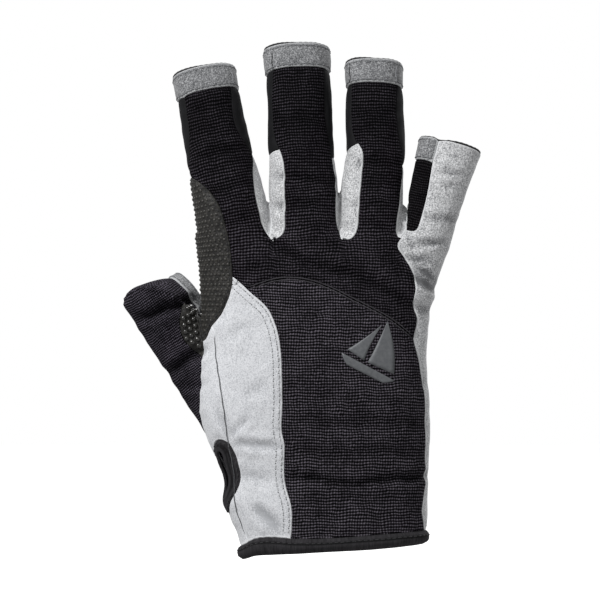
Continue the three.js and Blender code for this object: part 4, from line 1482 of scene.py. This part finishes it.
def panel_solid(rows, inward, from_seam):
    """The solid over a panel's triangles in one zone: what make_mesh takes, but for name and material."""
    used, local = np.unique(triangles[rows], return_inverse=True)
    local = local.reshape(-1, 3)
    count = len(used)
    normal = cloth_normals[used]
    top = cloth[used].copy()
    low = cloth[used] - normal * BEVEL_DROP
    into = np.zeros((count, 3))
    at_border = np.zeros(count, bool)
    for i, k in enumerate(used.tolist()):
        if k in inward:
            at_border[i] = True
            into[i] = inward[k]
    top[at_border] += into[at_border] * BEVEL
    low[at_border] -= into[at_border] * SEAM_OVERLAP
    under = cloth[used] - normal * THICKNESS - into * SEAM_OVERLAP
    # outer marks the edges with none of these triangles across.
    outer = np.zeros((len(rows), 3), bool)
    inside_rows = np.zeros(n_triangles, bool)
    inside_rows[rows] = True
    for i in range(3):
        other = across[rows, i]
        outer[:, i] = (other < 0) | ~inside_rows[np.maximum(other, 0)]
    is_seam = border[rows]
    faces = local.tolist()
    corner_normals = [normal[f] for f in local]
    own_uv = corner_uv[rows]
    corners_uv = list(own_uv)
    low_index = {}
    extra = []

    def low_of(i):
        if i not in low_index:
            low_index[i] = 2 * count + len(extra)
            extra.append(i)
        return low_index[i]

    for r, i in np.argwhere(outer):
        a, b = int(local[r, i]), int(local[r, (i + 1) % 3])
        if is_seam[r, i]:
            la, lb = low_of(a), low_of(b)
            faces.append([b, a, la, lb])
            side = [unit(normal[k] * 0.45 - into[k]) for k in (a, b)]
            corner_normals.append([*(unit(normal[k] - into[k] * 0.5) for k in (b, a)), *side])
            faces.append([lb, la, count + a, count + b])
            corner_normals.append([side[1], side[0], -into[a], -into[b]])
            corners_uv += [own_uv[r][[(i + 1) % 3, i, i, (i + 1) % 3]]] * 2
        else:
            faces.append([b, a, count + a, count + b])
            corner_normals.append([(0, 0, 0)] * 4)
            corners_uv.append(own_uv[r][[(i + 1) % 3, i, i, (i + 1) % 3]])
    for f in local:
        faces.append([count + int(f[0]), count + int(f[2]), count + int(f[1])])
        corner_normals.append(-normal[f[[0, 2, 1]]])
    corners_uv.append(own_uv[:, [0, 2, 1]].reshape(-1, 2))
    vertices = np.concatenate([top, under, low[extra]])
    at_rest = np.concatenate([rest[used], rest[used] - normal * THICKNESS, rest[used][extra]])
    values_of = [np.concatenate([k[used], k[used], k[used][extra]]) for k in (from_seam, crease)]
    cloth_uv = np.concatenate(corners_uv)
    flat_normals = np.concatenate([np.asarray(c, float).reshape(-1, 3) for c in corner_normals])
    return vertices, faces, flat_normals, at_rest, values_of, cloth_uv


def build_panel(name):
    """The solids of one panel: a piece for each zone, with rolled edges at the seams."""
    mine = panel_of == PANEL[name]
    inward = ways_inward(mine)
    from_seam = tape_top - rest[:, 2] if name == "cuff_binding" else seam_distance
    for zone in np.unique(zone_of[mine]):
        rows = np.flatnonzero(mine & (zone_of == zone))
        vertices, faces, *others = panel_solid(rows, inward, from_seam)
        piece = make_mesh(f"{name}.{ZONES[zone]}", vertices, faces, CLOTHS[name], *others)
        blend_across(piece, ZONES[zone])
        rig.replaces(piece, *NODES.get((name, ZONES[zone]), []))


for panel_name in PANELS[1:]:
    build_panel(panel_name)

# ---- Stitches, dots, rims and tubes ----


class Surface:
    """The outer face of some panels, to put small things on."""

    def __init__(self, *names):
        self.rows = np.flatnonzero(np.isin(panel_of, [PANEL[n] for n in names]))
        self.tree = BVHTree.FromPolygons(cloth.tolist(), triangles[self.rows].tolist())

    def found(self, hit):
        """A hit's place, normal and zone, or None."""
        place, _, index, _ = hit
        if place is None:
            return None
        row = self.rows[index]
        corners = triangles[row]
        weights = 1 / np.maximum(np.linalg.norm(cloth[corners] - place, axis=1), 1e-6)
        weights /= weights.sum()
        return np.array(place), unit(weights @ cloth_normals[corners]), zone_of[row]

    def nearest(self, p):
        return self.found(self.tree.find_nearest(Vector(p)))

    def facing(self, x, z, side=-1):
        """The place at x, z on the back (side -1) or on the palm (side 1)."""
        return self.found(self.tree.ray_cast(Vector((x, side * 80, z)), Vector((0, -side, 0))))


whole = Surface(*PANELS[1:])


def chains(name):
    """A panel's borders, as lists of vertices in order."""
    mine = panel_of == PANEL[name]
    after = {}
    for i in range(3):
        for t in triangles[np.flatnonzero(mine & border[:, i])]:
            after.setdefault(int(t[i]), []).append(int(t[(i + 1) % 3]))
    out = []
    while after:
        start = next(iter(after))
        chain = [start]
        while chain[-1] in after:
            following = after[chain[-1]]
            chain.append(following.pop())
            if not following:
                del after[chain[-2]]
        out.append(chain)
    return out


def inset_runs(name, inset, keep=None):
    """Lines at a distance inside a panel's border, where keep(rest places) holds."""
    inward = ways_inward(panel_of == PANEL[name])
    for chain in chains(name):
        line = np.array([cloth[k] + inward[k] * inset for k in chain])
        closed = chain[0] == chain[-1]
        if len(line) < 6:
            continue
        for _ in range(3):
            if closed:
                body = line[:-1]
                body = (np.roll(body, 1, 0) + 2 * body + np.roll(body, -1, 0)) / 4
                line = np.concatenate([body, body[:1]])
            else:
                line[1:-1] = (line[:-2] + 2 * line[1:-1] + line[2:]) / 4
        good = np.ones(len(line), bool) if keep is None else keep(rest[chain])
        if closed and not good.all() and good[0]:
            first = int(np.flatnonzero(~good)[0])
            line, good = np.roll(line[:-1], -first, 0), np.roll(good[:-1], -first)
        start = None
        for i in range(len(line) + 1):
            if i < len(line) and good[i]:
                start = i if start is None else start
            elif start is not None:
                if i - start > 3:
                    yield line[start:i]
                start = None


def resample(line, pitch):
    lengths = np.linalg.norm(np.diff(line, axis=0), axis=1)
    at = np.concatenate([[0], np.cumsum(lengths)])
    count = max(int(at[-1] / pitch), 2)
    steps = (np.arange(count) + 0.5) * at[-1] / count
    return np.stack([np.interp(steps, at, line[:, k]) for k in range(3)], 1)


def stamp(template, faces, frames):
    """Copies of a small mesh at frames of (place, along, normal). Its third axis is the normal."""
    vertices, all_faces = [], []
    for k, (place, way, normal) in enumerate(frames):
        way = unit(way - normal * (way @ normal))
        side = np.cross(normal, way)
        vertices.append(place + template @ np.stack([way, side, normal]))
        all_faces += [[i + k * len(template) for i in f] for f in faces]
    return np.concatenate(vertices), all_faces


def lathe(rings, sides):
    """A closed form round the third axis, from (radius, height) rings, with radius 0 at a pole."""
    vertices, faces, loops = [], [], []
    for radius, height in rings:
        if radius == 0:
            loops.append([len(vertices)])
            vertices.append((0, 0, height))
        else:
            loops.append(list(range(len(vertices), len(vertices) + sides)))
            turns = [2 * math.pi * i / sides for i in range(sides)]
            vertices += [(radius * math.cos(k), radius * math.sin(k), height) for k in turns]
    for low, high in zip(loops, loops[1:]):
        for i in range(sides):
            j = (i + 1) % sides
            quad = [low[i % len(low)], low[j % len(low)], high[j % len(high)], high[i % len(high)]]
            faces.append(list(dict.fromkeys(quad)))
    return np.array(vertices, float), faces


def stitch_form(length, width, rise):
    """A thread lying on the cloth along the first axis, with its ends going in."""
    below = [(0, -length / 2), (width * 0.36, -length * 0.4), (width / 2, -length * 0.15)]
    vertices, faces = lathe(below + [(radius, -height) for radius, height in below[::-1]], 6)
    bow = rise * (1 - (2 * vertices[:, 2] / length) ** 2) - 0.12
    return np.stack([vertices[:, 2], vertices[:, 1], -vertices[:, 0] * 0.8 + bow], 1), faces


STITCH = stitch_form(1.65, 0.5, 0.22)
# A needle hole, as a small dark disc: painted shade in the hole.
HOLE_SHADE_DISC = lathe([(0, -0.3), (0.3, -0.05), (0.22, 0.06), (0, 0.09)], 6)
DOT = lathe([(0, -0.3), (0.62, -0.1), (0.5, 0.2), (0.27, 0.34), (0, 0.38)], 7)
BLOB = lathe([(0, -0.5), (1.15, -0.2), (1.12, 0.35), (0.75, 0.8), (0.3, 0.98), (0, 1.0)], 10)
PITCH = 2.3  # from a stitch to the next
made = {}


def keep_for(kind, zone, frame_of):
    made.setdefault((kind, int(zone)), []).append(frame_of)


def sew(name, inset, kind, keep=None, holes=True):
    """A row of stitches at a distance inside a panel's border."""
    surface = Surface(name)
    for line in inset_runs(name, inset, keep):
        places = resample(line, PITCH)
        found = [surface.nearest(p) for p in places]
        for i, (place, normal, zone) in enumerate(found):
            way = found[min(i + 1, len(found) - 1)][0] - found[max(i - 1, 0)][0]
            if np.linalg.norm(way) < 0.5:
                continue
            way = unit(way)
            keep_for(kind, zone, (place, way, normal))
            # Between two stitches sits a hole disc of painted shade.
            if holes:
                keep_for("hole", zone, (place + way * PITCH / 2, way, normal))


def right_edge(q):
    x, y, z = q.T
    return (y < 0) & (z > cuff_edge(x) + binding_height(x) + 0.5) & (x > thumb_panel_edge(z) - 1.5)


sew("thumb_panel", 1.3, "pale_thread", right_edge)
sew("thumb_panel", 3.5, "pale_thread", right_edge)
for finger_name in NAMES:
    finger = FINGERS[finger_name]

    def low_edge(q):
        return finger.coordinates(q)[0] < finger.length - 3

    def high_edge(q):
        return finger.coordinates(q)[0] > finger.length - 3

    sew(f"band_{finger_name}", 1.1, "band_thread", low_edge)
    sew(f"band_{finger_name}", 1.3, "band_thread", high_edge)
sew("cuff_binding", 2.2, "dark_thread", lambda q: q[:, 2] > cuff_edge(q[:, 0]) + 3, False)
sew("side_grip", 1.2, "dark_thread", holes=False)
sew("palm_grip", 1.2, "grey_thread")
sew("palm_grip", 2.9, "grey_thread")
sew("heel", 1.2, "grey_thread", lambda q: q[:, 2] > cuff_edge(q[:, 0]) + 8)
sew("vent_tape", 0.9, "dark_thread", lambda q: vent_place(q, hand_angle(q))[1] > 0.85, False)
sew("band_thumb", 1.0, "band_thread")


def dot_rows(name, pitch, kind_of, edge=1.2):
    """A lattice of dots or blobs over a panel, along its cloth. kind_of tells which stands at a place."""
    for row in np.flatnonzero(panel_of == PANEL[name]):
        corners = triangles[row]
        a, b, c = corner_uv[row]
        size = (b[0] - a[0]) * (c[1] - a[1]) - (c[0] - a[0]) * (b[1] - a[1])
        if abs(size) < 1e-6 or np.ptp(corner_uv[row], axis=0).max() > 6:
            continue
        low, high = corner_uv[row].min(0), corner_uv[row].max(0)
        for j in range(math.ceil(low[1] / pitch), math.floor(high[1] / pitch) + 1):
            shift = (j % 2) * 0.5
            for i in range(math.ceil(low[0] / pitch - shift), math.floor(high[0] / pitch - shift) + 1):
                u, v = (i + shift) * pitch, j * pitch
                w1 = ((u - a[0]) * (c[1] - a[1]) - (c[0] - a[0]) * (v - a[1])) / size
                w2 = ((b[0] - a[0]) * (v - a[1]) - (u - a[0]) * (b[1] - a[1])) / size
                if w1 < 0 or w2 < 0 or w1 + w2 > 1:
                    continue
                weights = np.array([1 - w1 - w2, w1, w2])
                if weights @ seam_distance[corners] < edge:
                    continue
                place, normal = weights @ cloth[corners], unit(weights @ cloth_normals[corners])
                kind = kind_of(place)
                if kind:
                    keep_for(kind, zone_of[row], (place, np.array([0.6, 0.1, 0.8]), normal))


def in_blob_patch(p):
    return p[0] > -62.5 and p[2] < 102.5 and p[1] < 14


dot_rows("side_grip", 2.05, lambda _: "dot")
dot_rows("palm_grip", 2.3, lambda _: "dot", 4.3)
dot_rows("thumb_grip", 2.3, lambda p: None if in_blob_patch(p) else "dot")
dot_rows("thumb_grip", 2.5, lambda p: "blob" if in_blob_patch(p) else None, 0.9)

FORMS = {"hole": (HOLE_SHADE_DISC, "hole"), "dot": (DOT, "grip_dot"), "blob": (BLOB, "silicone")}
THUMB_STEPS = 12  # the thumb's blobs keep their shape where the cloth stretches, in this many groups
LONG = 20000.0  # a blend this long is the same all over a small piece


def thumb_share(place):
    """How far a place is through the cloth that stretches at the thumb's root, in steps."""
    share = (place @ THUMB_SIDE / (THUMB_SIDE @ THUMB_SIDE) - THUMB_START) / (THUMB_FULL - THUMB_START)
    return int(round(np.clip(share, 0, 1) * THUMB_STEPS))


for (kind, zone), frames in sorted(made.items()):
    form, material = FORMS.get(kind, (STITCH, kind))
    name = f"{kind}.{ZONES[zone]}"
    if kind == "blob" and ZONES[zone] == "thumb_base":
        for step in sorted({thumb_share(f[0]) for f in frames}):
            group = [f for f in frames if thumb_share(f[0]) == step]
            piece = make_mesh(f"{name}.{step}", *stamp(*form, group), material)
            way = unit(THUMB_SIDE) * LONG * MM
            start = np.mean([f[0] for f in group], 0) * MM - way * step / THUMB_STEPS
            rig.blend(piece, "hand", "thumb_base", start=start, end=start + way)
    else:
        blend_across(make_mesh(name, *stamp(*form, frames), material), ZONES[zone])


def tube(line, ups, radius, closed=False):
    """A thread through a line's points. It is a ring if closed, or else tapers in at both ends."""
    sides = 6
    way = unit(np.roll(line, -1, 0) - np.roll(line, 1, 0) if closed else np.gradient(line, axis=0))
    side = unit(np.cross(way, ups))
    up = np.cross(side, way)
    if not closed:
        radius = radius * np.sqrt(np.clip(1 - np.linspace(-1, 1, len(line)) ** 6, 0.02, 1))[:, None]
    turns = np.arange(sides) * 2 * math.pi / sides
    vertices = np.stack([line + radius * (math.cos(k) * side + math.sin(k) * up) for k in turns], 1)
    vertices = vertices.reshape(-1, 3)
    faces = [] if closed else [list(range(sides))[::-1], list(range(len(vertices) - sides, len(vertices)))]
    for i in range(len(line) if closed else len(line) - 1):
        j = (i + 1) % len(line)
        for k in range(sides):
            after = (k + 1) % sides
            faces.append([i * sides + k, i * sides + after, j * sides + after, j * sides + k])
    return vertices, faces


def places_and_normals(found):
    return np.array([f[0] for f in found]), np.array([f[1] for f in found])


# The black edge of the lining shows above each tip band.
for finger_name in NAMES:
    finger = FINGERS[finger_name]
    surface = Surface(f"band_{finger_name}", "palm")
    turns = np.radians(np.arange(0, 360, 5.0))
    sine, cosine = np.sin(turns), -np.cos(turns)
    round_it = rounding(sine, cosine)
    s = np.full(len(turns), finger.length)
    rim = finger.axis_point(s, finger.widths(s) * sine * round_it, (finger.depth - TAPER) * cosine * round_it)
    found = [surface.nearest(p) for p in rim]
    line, _ = places_and_normals(found)
    line = resample(np.concatenate([line, line[:1]]), 1.1)
    ups = np.array([surface.nearest(p)[1] for p in line])
    s, u, v = finger.coordinates(line)
    proud = 0.3 + 0.7 * (smoothstep(-u, -2, 9) if finger_name != "little" else smoothstep(u, -4, 4))
    line = line - ups * 0.75 + finger.along * (proud * 0.75 - 0.35)[:, None]
    beads = 0.5 + 0.11 * (np.arange(len(line)) % 2)
    edge = make_mesh(f"tip_edge.{finger_name}", *tube(line, ups, beads[:, None], True), "edge_thread")
    blend_across(edge, f"{finger_name}_end")

# The short seam that closes each band, as x from the finger's middle line.
BAND_SEAMS = {"index": (10.8,), "middle": (-9.9,), "ring": (-9.6, 8.6)}
for finger_name, seams in BAND_SEAMS.items():
    finger = FINGERS[finger_name]
    surface = Surface(f"band_{finger_name}")
    for k, seam_x in enumerate(seams):
        found = []
        for s in np.linspace(finger.length - BAND + 0.2, finger.length - 0.1, 9):
            x, _, z = finger.axis_point(s, seam_x + 0.15 * math.sin(s * 1.3))
            found.append(surface.facing(x, z))
        found = [f for f in found if f is not None]
        line, ups = places_and_normals(found)
        # The groove tube is painted shade: a near-black tube that darkens the seam's groove.
        for name, shift, sunk, radius, material in (
            ("ridge", 0.28, 0.12, 0.3, "band_thread"),
            ("groove", -0.2, 0.1, 0.24, "edge_thread"),
        ):
            beside = line + [shift, 0, 0] - ups * sunk
            piece = make_mesh(f"band_seam_{name}_{k}.{finger_name}", *tube(beside, ups, radius), material)
            blend_across(piece, f"{finger_name}_end")

# The thread that shows in the seam between the thumb's two pale panels.
found = [whole.facing(inner_seam(z) + 0.1 * math.sin(z), z) for z in np.arange(9, 90, 1.5)]
line, ups = places_and_normals(found)
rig.ride(make_mesh("thumb_seam_thread", *tube(line + ups * 0.05, ups, 0.2), "hole"), "hand")

# The two threads of the welt along the arched seam.
WELT_INSET = 0.55


def along_arch(q):
    return (q[:, 1] < 0) & (np.abs(q[:, 2] - arch(q[:, 0])) < 0.6)


for panel_name in ("back_panel", "knuckle_panel"):
    surface = Surface(panel_name)
    for k, line in enumerate(inset_runs(panel_name, WELT_INSET, along_arch)):
        found = [surface.nearest(p) for p in resample(line, 0.9)]
        line, ups = places_and_normals(found)
        if len(line) > 8:
            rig.ride(make_mesh(f"arch_welt_{k}.{panel_name}", *tube(line, ups, 0.22), "welt"), "hand")

# ---- Print, elastic and label ----


def shell(name, outer, inner, material, zone, keep=None):
    """A thin solid between two grids of places, where keep holds at a corner of a cell."""
    rows, columns = outer.shape[:2]
    keep = np.ones((rows, columns), bool) if keep is None else keep
    index = np.arange(rows * columns).reshape(rows, columns)
    cells = np.stack([index[:-1, :-1], index[:-1, 1:], index[1:, 1:], index[1:, :-1]], -1).reshape(-1, 4)
    cells = cells[keep.reshape(-1)[cells].any(1)]
    used, cells = np.unique(cells, return_inverse=True)
    n, cells = len(used), cells.reshape(-1, 4)
    faces = cells.tolist() + (cells[:, ::-1] + n).tolist()
    directed = [(f[i], f[(i + 1) % 4]) for f in cells.tolist() for i in range(4)]
    inner_edges = set(directed)
    faces += [[b, a, n + a, n + b] for a, b in directed if (b, a) not in inner_edges]
    vertices = np.concatenate([outer.reshape(-1, 3)[used], inner.reshape(-1, 3)[used]])
    piece = make_mesh(name, vertices, faces, material)
    blend_across(piece, zone)
    return piece


def sheet(name, places, ups, top, bottom, material, zone, node=None):
    """A solid from a grid of places on the cloth, between two distances along its normals."""
    piece = shell(name, places + ups * top, places + ups * bottom, material, zone)
    if node:
        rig.replaces(piece, node)


WALL_DEPTH = 1.2  # how far the side walls lie inside the form
WALL_GAP = 0.3  # from a finger's side wall to the middle between it and its neighbour


def side_wall(name, other, side):
    """The wall of a finger where it lies against its neighbour, in the two parts that its joints need."""
    finger, neighbour = FINGERS[name], FINGERS[other]
    turn = np.radians(np.linspace(35, 145, 24)) * side
    sine, cosine = np.sin(turn), np.cos(turn)
    round_it = rounding(sine, cosine)
    split = SPLIT_MIDDLE[name]
    for part, low, high in (("base", -0.5, split), ("end", split, 34.0)):
        s, _ = np.meshgrid(np.linspace(low, high, 16), turn, indexing="ij")
        u = finger.widths(s) * sine * round_it
        v = -finger.depth_at(s) * cosine * round_it
        own = 1 - WALL_DEPTH / finger.widths(s)

        def at(reach):
            return finger.axis_point(s, u * reach, v * reach)

        def nearer(reach):
            p = at(reach).reshape(-1, 3)
            return (finger.distance(p) < neighbour.distance(p) - 2 * WALL_GAP).reshape(s.shape)

        least, most = np.full(s.shape, 0.3), own
        clear = nearer(own)
        for _ in range(BISECTIONS):
            half = (least + most) / 2
            close = nearer(half)
            least, most = np.where(close, half, least), np.where(close, most, half)
        reach = np.where(clear, own, least)
        outer, inner = at(reach), at(reach - 0.5 / finger.widths(s))
        keep = (neighbour.distance(at(np.ones(s.shape)).reshape(-1, 3)) < WALL_DEPTH).reshape(s.shape)
        if side > 0:
            outer, inner = inner, outer
        if keep.any():
            cloth_name = "lycra" if name == "little" else "suede"
            shell(f"side_{name}_{other}.{part}", outer, inner, cloth_name, f"{name}_{part}", keep)


for name, other in zip(NAMES, NAMES[1:]):
    side_wall(name, other, 1)
    side_wall(other, name, -1)


def on_back(xz, side=-1):
    """Grids of places and normals for a grid of (x, z)."""
    hits = [whole.facing(x, z, side) for x, z in xz.reshape(-1, 2)]
    return (k.reshape(*xz.shape[:2], 3) for k in places_and_normals(hits))


PRINT_MIDDLE, PRINT_TILT = np.array([18.5, 82.5]), math.radians(-27)
PRINT_TOP, PRINT_BOTTOM = 0.16, -0.1  # from the cloth


def print_shape(name, left, right, node=None, rows=15, columns=7):
    """A printed shape between two curves, each from its foot to its head, in the mark's own frame."""
    t = np.linspace(0, 1, rows)[:, None]
    ends = (np.array(left, float), np.array(right, float))
    left, right = (k[0] * (1 - t) ** 2 + 2 * k[1] * t * (1 - t) + k[2] * t**2 for k in ends)
    share = np.linspace(0, 1, columns)[None, :, None]
    grid = left[:, None] * (1 - share) + right[:, None] * share
    c, s = math.cos(PRINT_TILT), math.sin(PRINT_TILT)
    x, z = grid[..., 0], grid[..., 1]
    grid = np.stack([c * x - s * z, s * x + c * z], -1) + PRINT_MIDDLE
    places, ups = on_back(grid)
    sheet(name, places, ups, PRINT_TOP, PRINT_BOTTOM, "print", "hand", node)


MAIN_SAIL = [(-1, -6), (-0.6, 2), (-1.4, 12)], [(10.5, -5.5), (7, 4), (-1.2, 12)]
JIB = [(-10.5, -5), (-6, 2), (-2.9, 9.5)], [(-2.6, -6), (-3.6, 1), (-2.7, 9.5)]
HULL = [(-12, -7.2), (-11.3, -8.6), (-8, -10.6)], [(12, -7.6), (11, -9), (8, -10.6)]
print_shape("print_main_sail", *MAIN_SAIL, "sail_print")
print_shape("print_jib", *JIB)
print_shape("print_hull", *HULL, rows=5, columns=21)

low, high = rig.box("wrist_elastic")
across_x, up_z = np.linspace(low.x / MM + 1, high.x / MM - 1, 48), np.linspace(low.z / MM, high.z / MM, 15)
grid = np.stack(np.meshgrid(across_x, up_z), -1)
places, ups = on_back(grid)
ripple = 0.14 * np.sin(grid[..., 0] * 2 * math.pi / 2.6)[..., None]
sheet("wrist_elastic_strip", places + ups * ripple, ups, -1.3, -2.1, "elastic", "hand", "wrist_elastic")

low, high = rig.box("care_label")
across_x, up_z = np.linspace(low.x / MM, high.x / MM, 12), np.linspace(low.z / MM, high.z / MM, 16)
grid = np.stack(np.meshgrid(across_x, up_z), -1)
places, ups = on_back(grid, 1)
curl_depth = 0.5 * np.sin((grid[..., 1] - low.z / MM) / 9) ** 2 * np.abs(np.cos(grid[..., 0] * 0.3))
curled = places - ups * curl_depth[..., None]
sheet("care_label_tape", curled, ups, -1.2, -1.5, "label", "hand", "care_label")
print("scene: panels")

visual_low, visual_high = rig.bounds()
with open("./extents.json", "w") as f:
    json.dump([list(cad_low), list(cad_high), list(visual_low), list(visual_high)], f)
